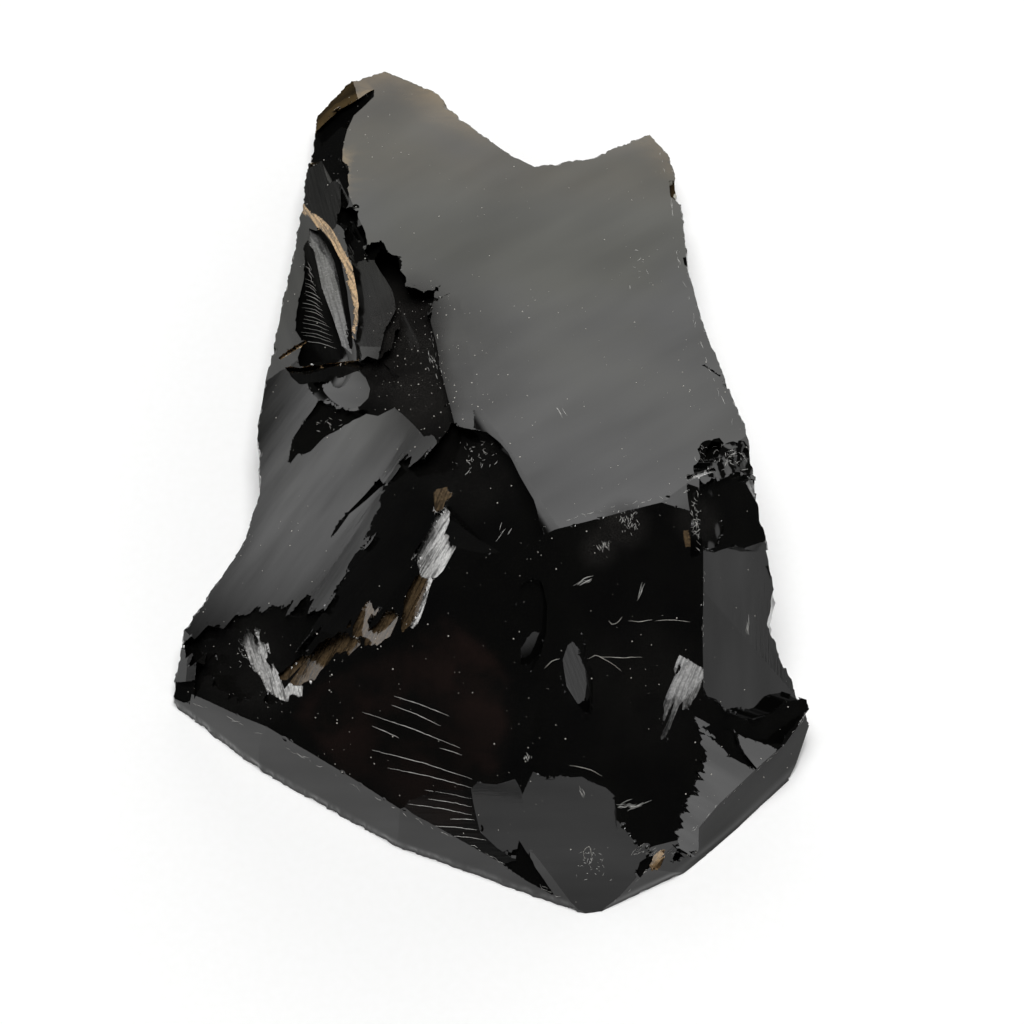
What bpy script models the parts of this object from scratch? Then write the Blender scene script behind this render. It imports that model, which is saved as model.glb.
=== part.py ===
"""Obsidian chunk: one hand-sized, broken piece of volcanic glass.

The chunk lies on a flat break, z = 0. +Z is up, the low pointed tip is at -Y and the thin back
edge with its two horns at +Y. The origin is on the base, below the middle of the bounding box.
"""
import math

import bmesh
import bpy
from mathutils import Matrix, Vector

MM = 0.001

# ---- Driving dimensions, in millimetres -------------------------------------------------------
BLANK_HEIGHT = 60.0        # height of the rough block before anything is broken off it
FRONT_LEAN = 75.0          # steepness of the low walls along the front, degrees from level
RIDGE_TOP = (5.8, -30.0, 38.0)        # highest corner, where the four large faces come together
RIDGE_RIGHT = (26.5, -21.2, 33.0)     # right end of the cross ridge
RIDGE_LEFT = (-8.9, 15.9, 24.5)       # on the long ridge between the upper face and the left slope
TIP = (12.6, -64.5, 1.0)              # low front point

# Plan outline of the rim, anticlockwise from the left corner of the front.
RIM = [
    (-42.0, -45.7), (-20.0, -60.0), (12.7, -75.0), (42.0, -60.0), (42.0, -39.7),          # front
    (37.9, -33.7), (35.9, -30.4), (37.0, -26.3), (34.7, -20.0), (33.1, -7.6),            # right side
    (30.5, 2.1), (28.3, 12.1), (26.7, 23.9), (26.3, 36.4), (25.0, 47.9),
    (22.1, 53.4), (13.5, 47.0), (5.8, 44.6), (1.7, 47.9), (-4.4, 54.7), (-8.0, 60.5),    # notch
    (-15.4, 64.9), (-21.0, 61.6), (-25.0, 56.4),                                         # left horn
    (-25.9, 47.2), (-26.7, 36.5), (-28.2, 25.4), (-29.8, 14.7), (-31.7, 2.6),            # left side
    (-31.1, -7.8), (-33.0, -14.3), (-37.8, -21.7), (-40.7, -26.8), (-42.0, -32.0),       # waist
]

# Flat breaks: a corner the face passes through, its dip below level and the way it faces
# (degrees clockwise from the back). A dip over 90 is an undercut.
FACES = {
    "upper": (RIDGE_TOP, 20.6, 13.1),
    "centre": (RIDGE_TOP, 43.4, 143.3),
    "front_left": ((-1.4, -31.6, 34.4), 48.2, -150.2),
    "left_slope": (RIDGE_LEFT, 37.5, -79.0),
    "shoulder": (RIDGE_TOP, 27.2, -79.9),
    "low_shoulder": ((-23.3, -39.7, 14.3), 41.7, -124.6),
    "front_foot": (TIP, 54.6, 178.6),
    "left_corner": ((-38.1, -32.4, 8.0), 56.7, -107.4),
    "right_cap": ((26.5, -21.9, 31.5), 30.3, 95.7),
    "wall_left": ((-30.8, -43.7, 0.0), FRONT_LEAN, -148.2),
    "wall_corner": ((-41.9, -34.6, 0.0), FRONT_LEAN, -140.6),
    "wall_tip_left": ((12.7, -64.9, 0.0), FRONT_LEAN, -158.5),
    "wall_tip_right": ((12.7, -64.9, 0.0), FRONT_LEAN, 153.8),
    "wall_right": ((33.1, -54.8, 0.0), FRONT_LEAN, 136.4),
    "wall_far_right": ((40.2, -48.1, 0.0), FRONT_LEAN, 126.5),
    "under_back": ((-15.4, 64.9, 4.1), 152.0, 16.5),
    "under_left_horn": ((-21.0, 61.6, 5.0), 148.0, -38.0),
    "under_right_horn": ((25.0, 47.9, 6.5), 132.0, 78.0),
    "base": ((0.0, 0.0, 0.0), 180.0, 0.0),
}

# Shell-shaped flake scars: centre and radius of the ball that each one is a piece of.
SCARS = {
    "trough": ((-78.3, -8.1, 92.3), 95.0),
    "right_hollow": ((70.2, -57.0, 58.0), 60.0),
    "under_notch": ((6.0, 62.0, -14.0), 27.5),
    "under_left_side": ((-50.0, 30.0, -30.0), 40.0),
    "under_waist": ((-52.0, -12.0, -10.0), 24.0),
    "right_flank": ((75.0, 5.0, 0.0), 48.0),
    "horn_flake": ((-30.5, 58.0, 24.0), 17.5),
    "ledge_scoop": ((-24.5, 6.2, 22.6), 7.4),
    "crushed_corner_a": ((31.0, -12.0, 33.5), 5.0),
    "crushed_corner_b": ((26.5, -17.0, 34.6), 3.4),
    "right_nick_a": ((26.9, 41.5, 11.6), 2.6),
    "right_nick_b": ((27.9, 25.0, 17.4), 2.2),
    "bottom_nick": ((21.5, -60.2, 4.6), 2.4),
    "left_nick": ((-33.6, 8.2, 11.5), 3.0),
}

# Long narrow gouge down the left slope.
GOUGE_CENTRE = (-23.4, 24.6, 15.0)
GOUGE_HALF = (15.5, 2.5, 3.2)                # half length, half width, depth of the cutter
GOUGE_AXIS = (7.5, -30.1, 10.1)              # the way it runs, from the horn down to the ledge


def outward(dip, facing):
    """Unit normal of a face from its dip and the way it faces, both in degrees."""
    dip, facing = math.radians(dip), math.radians(facing)
    return Vector((math.sin(dip) * math.sin(facing), math.sin(dip) * math.cos(facing), math.cos(dip)))


def break_off(bm, corner, normal):
    """Break the block along a plane, drop the outer side and close the cut."""
    cut = bmesh.ops.bisect_plane(
        bm, geom=bm.verts[:] + bm.edges[:] + bm.faces[:], dist=1e-7,
        plane_co=Vector(corner) * MM, plane_no=normal, clear_outer=True)["geom_cut"]
    edges = [item for item in cut if isinstance(item, bmesh.types.BMEdge) and item.is_boundary]
    if edges:
        bmesh.ops.edgenet_fill(bm, edges=edges)


def rough_block(outline, height):
    """Upright block with the plan outline of the chunk."""
    bm = bmesh.new()
    corners = [bm.verts.new((x * MM, y * MM, -2 * MM)) for x, y in outline]
    face = bmesh.ops.contextual_create(bm, geom=corners)["faces"]
    raised = bmesh.ops.extrude_face_region(bm, geom=face)["geom"]
    lifted = [item for item in raised if isinstance(item, bmesh.types.BMVert)]
    bmesh.ops.translate(bm, verts=lifted, vec=(0, 0, height * MM))
    bmesh.ops.recalc_face_normals(bm, faces=bm.faces[:])
    return bm


def cutter(name, centre, size, fineness, turn=None):
    """Ball or ellipsoid that takes a flake off, kept as a wire guide."""
    bm = bmesh.new()
    bmesh.ops.create_icosphere(bm, subdivisions=fineness, radius=1.0)
    bmesh.ops.scale(bm, verts=bm.verts[:], vec=Vector(size) * MM)
    if turn:
        bmesh.ops.rotate(bm, verts=bm.verts[:], cent=(0, 0, 0), matrix=turn)
    mesh = bpy.data.meshes.new(name)
    bm.to_mesh(mesh)
    bm.free()
    obj = bpy.data.objects.new(name, mesh)
    obj.location = Vector(centre) * MM
    obj.display_type = "WIRE"
    obj.hide_render = True
    cutters.objects.link(obj)
    return obj


def strike(chunk, tool):
    """Take the cutter's shape out of the chunk."""
    cut = chunk.modifiers.new(tool.name, "BOOLEAN")
    cut.operation = "DIFFERENCE"
    cut.solver = "EXACT"
    cut.object = tool


def black_glass():
    material = bpy.data.materials.new("obsidian")
    material.use_nodes = True
    shader = material.node_tree.nodes["Principled BSDF"]
    shader.inputs["Base Color"].default_value = (0.006, 0.006, 0.007, 1.0)
    shader.inputs["Roughness"].default_value = 0.08
    shader.inputs["Metallic"].default_value = 0.0
    shader.inputs["IOR"].default_value = 1.5
    return material


for old in list(bpy.data.objects):
    bpy.data.objects.remove(old, do_unlink=True)

parts = bpy.data.collections.new("obsidian_chunk")
cutters = bpy.data.collections.new("cutters")
for group in (parts, cutters):
    bpy.context.scene.collection.children.link(group)

# The block is broken down to its flat faces.
block = rough_block(RIM, BLANK_HEIGHT)
for corner, dip, facing in FACES.values():
    break_off(block, corner, outward(dip, facing))
mesh = bpy.data.meshes.new("obsidian_chunk")
block.to_mesh(mesh)
block.free()
chunk = bpy.data.objects.new("obsidian_chunk", mesh)
chunk.data.materials.append(black_glass())
parts.objects.link(chunk)

# The flake scars: large ones need finer balls, so that every scar has facets of about 2 to 3 mm.
for name, (centre, radius) in SCARS.items():
    fineness = 6 if radius > 50 else 5 if radius > 20 else 4 if radius > 6 else 3
    strike(chunk, cutter(name, centre, (radius, radius, radius), fineness))

# The gouge is a long ellipsoid laid down the left slope.
along = Vector(GOUGE_AXIS).normalized()
up = outward(FACES["left_slope"][1], FACES["left_slope"][2])
across = up.cross(along).normalized()
turn = Matrix((along, across, along.cross(across))).transposed()
strike(chunk, cutter("gouge", GOUGE_CENTRE, GOUGE_HALF, 4, turn))

# Broken glass has crisp ridges between its scars, and each scar is smooth.
depsgraph = bpy.context.evaluated_depsgraph_get()
cut_mesh = bpy.data.meshes.new_from_object(chunk.evaluated_get(depsgraph))
chunk.modifiers.clear()
chunk.data = cut_mesh
chunk.data.name = "obsidian_chunk"
chunk.data.shade_smooth()
chunk.data.set_sharp_from_angle(angle=math.radians(24))
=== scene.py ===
"""Obsidian chunk: the finished look of one broken piece of volcanic glass.

The surface is worked out the way the glass broke: flat breaks, ball-shaped flake scars, small
facets with ragged edges and tiny edge chips all take something away from a solid block. What is
left is meshed once, closely enough to keep every ridge sharp, and gets the look of fresh glass, with white
and tan painted highlights where it glints.
All lengths are millimetres until a mesh is made.
"""
import math

import bpy
import numpy as np
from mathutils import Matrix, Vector
from mathutils.bvhtree import BVHTree


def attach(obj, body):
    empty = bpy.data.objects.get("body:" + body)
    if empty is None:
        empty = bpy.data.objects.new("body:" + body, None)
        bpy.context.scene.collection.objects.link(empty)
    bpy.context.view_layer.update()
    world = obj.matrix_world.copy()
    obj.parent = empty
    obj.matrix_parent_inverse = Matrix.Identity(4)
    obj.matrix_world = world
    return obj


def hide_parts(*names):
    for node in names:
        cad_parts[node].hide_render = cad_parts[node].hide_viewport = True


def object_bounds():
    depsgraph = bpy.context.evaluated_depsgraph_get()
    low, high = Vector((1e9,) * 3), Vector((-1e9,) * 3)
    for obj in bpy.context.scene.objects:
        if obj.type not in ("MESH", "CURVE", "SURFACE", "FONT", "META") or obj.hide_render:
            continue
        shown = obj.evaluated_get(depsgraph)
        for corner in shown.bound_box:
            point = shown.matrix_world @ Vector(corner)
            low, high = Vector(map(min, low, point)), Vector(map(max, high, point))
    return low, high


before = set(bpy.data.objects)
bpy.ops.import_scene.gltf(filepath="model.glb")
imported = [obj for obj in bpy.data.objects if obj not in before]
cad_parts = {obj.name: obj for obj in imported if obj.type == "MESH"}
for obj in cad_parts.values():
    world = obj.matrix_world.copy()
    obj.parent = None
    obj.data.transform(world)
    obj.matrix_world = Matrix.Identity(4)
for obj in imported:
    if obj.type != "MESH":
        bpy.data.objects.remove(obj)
CAD_BOX = [list(corner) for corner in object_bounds()]
MM = 0.001
CAD_LOW, CAD_HIGH = (np.array(corner) / MM for corner in CAD_BOX)


# ---- Where the studio camera stands ------------------------------------------------------------
FRAME = 1024
HALF = FRAME / 2
LENS = 150.0
SENSOR = 36.0
DISTANCE = 558.9
ELEVATION = math.radians(60.0)
TARGET = np.array([2.65, -14.0, 16.0])
BACK = np.array([0.0, -math.cos(ELEVATION), math.sin(ELEVATION)])
RIGHT = np.array([1.0, 0.0, 0.0])
UP = np.cross(BACK, RIGHT)
CAMERA = TARGET + BACK * DISTANCE
FOCAL = FRAME * LENS / SENSOR
PX = DISTANCE / FOCAL                     # one step of the camera's frame, in mm at the target


def in_view(points):
    """Columns u (right) and v (down) of points in the camera's frame, each 0 to 1024."""
    rel = points - CAMERA
    depth = -(rel @ BACK)
    return HALF + rel @ RIGHT / depth * FOCAL, HALF - rel @ UP / depth * FOCAL


# ---- Small seeded noise ------------------------------------------------------------------------
TABLES = {}
TABLE_SIZE = 256                          # a power of two


def table(seed):
    if seed not in TABLES:
        TABLES[seed] = np.random.default_rng(seed).uniform(-1, 1, (TABLE_SIZE, TABLE_SIZE))
    return TABLES[seed]


def noise(x, y, seed):
    """Smooth noise of two coordinates, -1 to 1."""
    grid = table(seed)
    i, j = np.floor(x).astype(np.int64), np.floor(y).astype(np.int64)
    s, t = x - i, y - j
    s, t = s * s * (3 - 2 * s), t * t * (3 - 2 * t)
    last = TABLE_SIZE - 1
    a, b = i & last, (i + 1) & last
    c, d = j & last, (j + 1) & last
    low = grid[a, c] * (1 - s) + grid[b, c] * s
    high = grid[a, d] * (1 - s) + grid[b, d] * s
    return low * (1 - t) + high * t


def swell(points, seed, length, count=5):
    """Slow rolling waves from a few sines, about -1 to 1."""
    rng = np.random.default_rng(seed)
    total = 0
    for _ in range(count):
        way = rng.normal(size=3)
        way /= np.linalg.norm(way)
        total = total + np.sin(points @ (way * 2 * math.pi / (length * rng.uniform(0.7, 1.5)))
                               + rng.uniform(0, 6.28))
    return total / count


def ease(x, low, high):
    t = np.clip((x - low) / (high - low), 0, 1)
    return t * t * (3 - 2 * t)


# ---- The large breaks --------------------------------------------------------------------------
RIDGE_TOP = (5.8, -30.0, 38.0)
RIDGE_LEFT = (-12.0, 15.9, 24.76)
TIP = (12.6, -64.5, 1.0)
WALL = 75.0                               # steepness of the low walls, degrees from level

RIM = [
    (-42.0, -45.7), (-20.0, -60.0), (12.7, -75.0), (42.0, -60.0), (42.0, -39.7),
    (37.9, -33.7), (35.9, -30.4), (37.0, -26.3), (34.7, -20.0), (33.1, -7.6),
    (30.5, 2.1), (28.3, 12.1), (26.7, 23.9), (26.3, 36.4), (25.0, 47.9),
    (22.1, 53.6), (13.5, 47.2), (5.8, 44.6), (1.7, 47.9), (-4.4, 54.7), (-8.0, 60.5),
    (-15.4, 64.9), (-21.0, 61.6), (-25.0, 56.4),
    (-25.9, 47.2), (-26.7, 36.5), (-28.2, 25.4), (-29.8, 14.7), (-31.7, 2.6),
    (-31.1, -7.8), (-33.0, -14.3), (-37.8, -21.7), (-40.7, -26.8), (-42.0, -32.0),
]


def outward(dip, facing):
    dip, facing = math.radians(dip), math.radians(facing)
    return np.array([math.sin(dip) * math.sin(facing), math.sin(dip) * math.cos(facing), math.cos(dip)])


class Break:
    """One break: each part is positive where it takes glass away, and all parts have to agree."""

    def __init__(self, name, parts, fine=None, reach=0.0, window=None, finish=(0, 0), grain=0):
        self.name, self.parts, self.fine, self.reach = name, parts, fine, reach
        self.window, self.finish, self.grain = window, finish, grain


BREAKS = []                               # whole faces and scars
LOCAL = []                                # small breaks, each inside a window of the camera's frame
CHIP = 100000                             # labels from here on are single chips
LOCAL_REACH = 6                           # small breaks cut no deeper than this, mm
SLACK = 0.8                               # how near a break must be before its fine relief counts, mm


def plane(corner, way):
    level = way @ np.array(corner)
    return lambda p: p @ way - level


def hollow(centre, radius):
    centre = np.array(centre)
    return lambda p: radius - np.linalg.norm(p - centre, axis=1)


def face(name, corner, dip, facing, fine=None, reach=0.0):
    BREAKS.append(Break(name, [plane(corner, outward(dip, facing))], fine, reach))


def scar(name, centre, radius, fine=None, reach=0.0):
    BREAKS.append(Break(name, [hollow(centre, radius)], fine, reach))


def rings(centre, length, height, phase=0.0):
    """Ripples that spread from the point where a flake was struck."""
    centre = np.array(centre)
    return lambda p: height * np.sin(2 * math.pi * np.linalg.norm(p - centre, axis=1) / length + phase)


def waves(seed, length, height):
    return lambda p: height * swell(p, seed, length)


def both(*parts):
    return lambda p: sum(part(p) for part in parts)


def streaks(angle, spacing, height, seed):
    """Fine grooves along one direction of the camera's frame; spacing in its steps, height in mm."""
    c, s = math.cos(math.radians(angle)), math.sin(math.radians(angle))

    def relief(p):
        u, v = in_view(p)
        along, across = u * c + v * s, v * c - u * s
        return height * (noise(across / spacing, along / (spacing * 12), seed)
                         + 0.5 * noise(across / (spacing * 2.3), along / (spacing * 16), seed + 1))
    return relief


def rim_bites(points):
    """Bites up to 0.7 mm deep along the rim. They only take glass away."""
    along = np.hypot(points[:, 0] + 60, points[:, 1] * 1.3 - 10) * 1.7
    coarse = np.abs(noise(along / 4.1, points[:, 2] / 9, 31))
    fine = np.abs(noise(along / 1.4, points[:, 2] / 4, 32))
    tiny = np.abs(noise(along / 0.7, points[:, 2] / 2, 33))
    return 0.02 + 0.3 * coarse + 0.28 * fine + 0.12 * tiny


def foot_bites(points):
    """Weaker bites low on the walls that reach the table."""
    return 0.6 * rim_bites(points) * ease(-points[:, 2], -1.8, -0.2)


face("upper", RIDGE_TOP, 20.6, 13.1, both(rings((9, -34, 40), 19.0, 0.03), waves(3, 42, 0.3)), 0.3)
face("centre", RIDGE_TOP, 43.4, 143.3, waves(4, 22, 0.12), 0.15)
face("front_left", (-1.4, -31.6, 34.4), 48.2, -150.2, waves(5, 26, 0.10), 0.12)
face("left_slope", RIDGE_LEFT, 37.5, -79.0, both(waves(6, 24, 0.1), streaks(105, 15, 0.025, 69)), 0.18)
face("shoulder", RIDGE_TOP, 24.0, -79.9, waves(7, 24, 0.04), 0.1)
face("low_shoulder", (-23.3, -39.7, 14.3), 41.7, -124.6, waves(8, 16, 0.08), 0.1)
face("front_foot", TIP, 54.6, 178.6, waves(9, 14, 0.06), 0.08)
face("left_corner", (-38.1, -32.4, 8.0), 56.7, -107.4, waves(10, 9, 0.06), 0.08)
face("right_cap", (26.5, -21.9, 31.5), 30.3, 95.7, waves(11, 9, 0.06), 0.08)
face("wall_left", (-30.8, -43.7, 0.0), WALL, -148.2, both(waves(12, 12, 0.12), foot_bites), 0.9)
face("wall_corner", (-41.9, -34.6, 0.0), WALL, -140.6, both(waves(13, 12, 0.12), foot_bites), 0.9)
face("wall_tip_left", (12.7, -64.9, 0.0), WALL, -158.5, both(waves(14, 12, 0.12), foot_bites), 0.9)
face("wall_tip_right", (12.7, -64.9, 0.0), WALL, 153.8, both(waves(15, 12, 0.12), foot_bites), 0.9)
face("wall_right", (33.1, -54.8, 0.0), WALL, 136.4, both(waves(16, 12, 0.12), foot_bites), 0.9)
face("wall_far_right", (40.2, -48.1, 0.0), WALL, 126.5, both(waves(17, 12, 0.12), foot_bites), 0.9)
face("under_back", (-15.4, 64.9, 4.1), 152.0, 16.5, waves(18, 14, 0.1), 0.12)
face("under_left_horn", (-21.0, 61.6, 5.0), 148.0, -38.0, waves(19, 14, 0.1), 0.12)
face("under_right_horn", (25.0, 47.9, 6.5), 132.0, 78.0, waves(20, 14, 0.1), 0.12)
face("base", (0.0, 0.0, 0.0), 180.0, 0.0)
scar("trough", (-78.3, -8.1, 92.3), 95.0,
     both(waves(21, 24, 0.05), streaks(127, 22, 0.045, 65), streaks(127, 6, 0.006, 67)), 0.12)
scar("right_hollow", (70.2, -57.0, 58.0), 60.0, waves(22, 18, 0.06), 0.08)
scar("under_notch", (6.0, 62.0, -18.0), 27.5, rings((6, 44, 6), 5.0, 0.05), 0.06)
scar("under_left_side", (-50.0, 30.0, -30.0), 40.0, rings((-30, 30, 2), 6.0, 0.06), 0.07)
scar("under_waist", (-52.0, -12.0, -10.0), 24.0, rings((-33, -12, 6), 5.0, 0.05), 0.06)
scar("right_flank", (75.0, 5.0, 0.0), 48.0, rings((30, 4, 24), 7.0, 0.07), 0.08)
scar("horn_flake", (-30.5, 58.0, 24.0), 17.5, rings((-20, 60, 8), 3.5, 0.03), 0.04)
scar("ledge_scoop", (-24.5, 6.2, 22.6), 7.4)
scar("right_nick_a", (28.4, 41.5, 12.2), 3.4, waves(24, 2.0, 0.15), 0.2)
scar("right_nick_b", (29.2, 25.0, 18.0), 3.0, waves(25, 2.0, 0.15), 0.2)
scar("left_nick", (-33.6, 8.2, 11.5), 3.0)


def inside(x, y, outline):
    """Distance inside a closed outline, negative outside it."""
    best = np.full(len(x), 1e9)
    within = np.zeros(len(x), dtype=bool)
    ring = np.array(outline, dtype=float)
    for a, b in zip(ring, np.roll(ring, -1, axis=0)):
        ex, ey = b - a
        t = np.clip(((x - a[0]) * ex + (y - a[1]) * ey) / (ex * ex + ey * ey), 0, 1)
        best = np.minimum(best, (x - a[0] - t * ex) ** 2 + (y - a[1] - t * ey) ** 2)
        crosses = (a[1] > y) != (b[1] > y)
        if ey:
            within ^= crosses & (x < ex * (y - a[1]) / ey + a[0])
    return np.where(within, np.sqrt(best), -np.sqrt(best))


BREAKS.append(Break("rim", [lambda p: -inside(p[:, 0], p[:, 1], RIM)], rim_bites, 0.7))


# ---- Edge chips --------------------------------------------------------------------------------
class Chips:
    """Many small balls, found quickly through boxes of 3 mm."""
    BOX = 3.0
    LOW = np.array([-50.0, -72.0, -6.0])
    SHAPE = np.array([34, 48, 18])
    NONE = -9.0                           # the value where no chip is near

    def __init__(self, centres, radii):
        self.centres, self.radii = np.array(centres).reshape(-1, 3), np.array(radii)
        held = {}
        for k, (c, r) in enumerate(zip(self.centres, self.radii)):
            a = np.maximum(np.floor((c - r - self.LOW) / self.BOX).astype(int), 0)
            b = np.minimum(np.floor((c + r - self.LOW) / self.BOX).astype(int), self.SHAPE - 1)
            for i in range(a[0], b[0] + 1):
                for j in range(a[1], b[1] + 1):
                    for l in range(a[2], b[2] + 1):
                        held.setdefault(self.place(i, j, l), []).append(k)
        most = max(map(len, held.values()), default=1)
        self.lists = np.full((self.SHAPE.prod(), most), -1, dtype=np.int32)
        for box, names in held.items():
            self.lists[box, :len(names)] = names

    def place(self, i, j, k):
        return (i * self.SHAPE[1] + j) * self.SHAPE[2] + k

    def __call__(self, points):
        value = np.full(len(points), self.NONE)
        which = np.zeros(len(points), dtype=np.int64)
        if not len(self.radii):
            return value, which
        cell = np.clip(np.floor((points - self.LOW) / self.BOX).astype(int), 0, self.SHAPE - 1)
        lists = self.lists[self.place(*cell.T)]
        busy = np.nonzero(lists[:, 0] >= 0)[0]
        for column in range(lists.shape[1]):
            names = lists[busy, column]
            busy, names = busy[names >= 0], names[names >= 0]
            if not len(busy):
                break
            g = self.radii[names] - np.linalg.norm(points[busy] - self.centres[names], axis=1)
            better = g > value[busy]
            value[busy[better]], which[busy[better]] = g[better], names[better]
        return value, which


CHIPS = Chips([], [])


def solid(points, plain=False):
    """How far each point is outside the glass, and the label of the break that decides it."""
    values = np.stack([b.parts[0](points) for b in BREAKS])
    if plain:
        return values.max(0), values.argmax(0) * 2
    top = values.max(0)
    for k, b in enumerate(BREAKS):
        if b.fine is not None:
            near = values[k] > top - 2 * b.reach - SLACK
            if near.any():
                values[k, near] += b.fine(points[near])
    best, label = values.max(0), values.argmax(0) * 2
    if LOCAL:
        close = np.nonzero(np.abs(best) < LOCAL_REACH)[0]
        u, v = in_view(points[close])
        for k, b in enumerate(LOCAL):
            u0, u1, v0, v1 = b.window
            here = close[(u > u0) & (u < u1) & (v > v0) & (v < v1)]
            if not len(here):
                continue
            parts = np.stack([part(points[here]) for part in b.parts])
            value, which = parts.min(0), parts.argmin(0)
            more = value > best[here]
            best[here[more]] = value[more]
            label[here[more]] = (len(BREAKS) + k) * 2 + which[more]
    chip, which = CHIPS(points)
    cut = chip > best
    return np.where(cut, chip, best), np.where(cut, CHIP + which, label)


def branch(points, label):
    """The smooth function of one part of one break."""
    k, part = divmod(label, 2)
    if k >= len(BREAKS):
        return LOCAL[k - len(BREAKS)].parts[part](points)
    value = BREAKS[k].parts[0](points)
    return value if BREAKS[k].fine is None else value + BREAKS[k].fine(points)


def normals(points, labels, step=0.03):
    """Outward normals of the labelled breaks at the points."""
    out = np.zeros_like(points)
    chips = labels >= CHIP
    if chips.any():
        out[chips] = CHIPS.centres[labels[chips] - CHIP] - points[chips]
    rest = np.nonzero(~chips)[0]
    rest = rest[np.argsort(labels[rest], kind="stable")]
    for group in np.split(rest, np.nonzero(np.diff(labels[rest]))[0] + 1):
        label, p = int(labels[group[0]]), points[group]
        for axis in range(3):
            shift = np.zeros(3)
            shift[axis] = step
            out[group, axis] = branch(p + shift, label) - branch(p - shift, label)
    return out / np.maximum(np.linalg.norm(out, axis=1, keepdims=True), 1e-12)


# ---- Small breaks laid out in the camera's frame -------------------------------------------------
ABOVE = 39.0                              # a height just above the glass
SKIN_STEPS = 60                           # steps from there down to the glass


def skin(u, v):
    """The points of the glass that the camera sees at columns u and v."""
    u, v = np.atleast_1d(u).astype(float), np.atleast_1d(v).astype(float)
    way = (u - HALF)[:, None] * RIGHT + (HALF - v)[:, None] * UP - FOCAL * BACK
    way /= np.linalg.norm(way, axis=1, keepdims=True)
    far = (ABOVE - CAMERA[2]) / way[:, 2]
    for _ in range(SKIN_STEPS):
        value, _ = solid(CAMERA + far[:, None] * way)
        far += np.where(value > 0, value * 0.9, value * 0.5)
    return CAMERA + far[:, None] * way


def halfway(azimuth, elevation):
    """Normal of a facet that mirrors this direction of the room to the camera."""
    a, e = math.radians(azimuth), math.radians(elevation)
    room = np.array([math.sin(a) * math.cos(e), math.cos(a) * math.cos(e), math.sin(e)])
    return (room + BACK) / np.linalg.norm(room + BACK)


def ragged(u, v, comb, seed):
    """Uneven outline: teeth of the comb's spacing that run along its angle."""
    angle, spacing, height = comb
    c, s = math.cos(math.radians(angle)), math.sin(math.radians(angle))
    along, across = u * c + v * s, v * c - u * s
    teeth = noise(across / spacing, along / (spacing * 7), seed)
    fine = noise(across / (spacing * 0.45), along / (spacing * 5), seed + 1)
    return height * (teeth + 0.5 * fine)


def rollover(name, ridge, radius, outline):
    """Rounds the left edge of the upper face, from a line in the camera's frame on."""
    (u0, v0), (u1, v1) = ridge
    length = math.hypot(u1 - u0, v1 - v0)
    top = BREAKS[0]

    def floor(p):
        u, v = in_view(p)
        left = ((u - u0) * (v1 - v0) - (v - v0) * (u1 - u0)) / -length * PX
        return top.parts[0](p) + top.fine(p) + np.maximum(left, 0) ** 2 / (2 * radius)

    def side(p):
        return inside(*in_view(p), outline) * PX
    ring = np.array(outline)
    low, high = ring.min(0) - 3, ring.max(0) + 3
    LOCAL.append(Break(name, [floor, side], window=(low[0], high[0], low[1], high[1])))


def facet(name, outline, mirrors, comb=(0, 9, 1.0), bend=0.0, fine=None, seed=50, finish=(0, 0),
          cover=4, through=None):
    """Small break inside an outline, just deep enough to take nearly all of it off the skin.

    It mirrors one direction of the room, or follows the skin. Bend is the radius of a hollow. Cover is
    how much of the outline, in percent, may stay uncut, and through is a point that the break passes:
    its column and row, and how deep under the skin it lies.
    """
    ring = np.array(outline, dtype=float)
    low, high = ring.min(0), ring.max(0)
    pace = max(2.0, (high - low).max() / 16)
    u, v = np.meshgrid(np.arange(low[0], high[0], pace), np.arange(low[1], high[1], pace))
    u, v = u.ravel(), v.ravel()
    held = inside(u, v, outline) > 0
    spots = skin(u[held], v[held])
    spots = spots[np.abs(solid(spots)[0]) < 0.1]
    spot = spots.mean(0)
    if mirrors is None:
        way = np.linalg.svd(spots - spot)[2][2]
        way = way * np.sign(way @ BACK)
    else:
        way = halfway(*mirrors)

    def floor_at(spot):
        return hollow(spot + way * bend, bend) if bend else plane(spot, way)

    if through:
        floor = floor_at(skin(*through[:2])[0] - way * through[2])
    else:
        sink = 0.03 - np.percentile(floor_at(spot)(spots), cover)
        floor = floor_at(spot - way * sink)
    if fine is not None:
        floor = both(floor, fine)

    def side(p):
        u, v = in_view(p)
        return (inside(u, v, outline) + ragged(u, v, comb, seed)) * PX
    margin = 4 + comb[2] * 1.5
    window = (low[0] - margin, high[0] + margin, low[1] - margin, high[1] + margin)
    LOCAL.append(Break(name, [floor, side], window=window, finish=finish, grain=comb[0]))


# Bright cards that stand round the glass: azimuth from and to (clockwise from the back), the
# elevation of the top edge, the brightness, how far the three edges fade, and how bright the foot is.
CARDS = {"back": (-14, 70, 32, 2.4, (9, 3, 3), 1.0), "left": (-90, -45, 24, 2.9, (3, 10, 8), 0.6),
         "right": (70, 128, 14, 1.05, (3, 3, 3), 1.0), "front right": (150, 181, 13, 1.1, (3, 1, 3), 1.0),
         "front left": (-181, -138, 11, 1.1, (1, 4, 3), 1.0), "strip": (137, 158, 21, 3.4, (3, 3, 3), 1.0)}
ROOM_DARK = 0.04

# Directions of the room that facets mirror: azimuth clockwise from the back, and elevation.
RIGHT_CARD = (92, 4)
SIDE_STRIP = (146, 17)
# Crush and glint: how much white or tan crushed-glass colour goes in, partly as a painted highlight where the
# glass glints, and how warm that colour is.
WHITE_CRUSH_GLINT = (1.0, 0.0)
TAN = (1.0, 1.0)
DULL_TAN = (0.16, 1.0)

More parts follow.
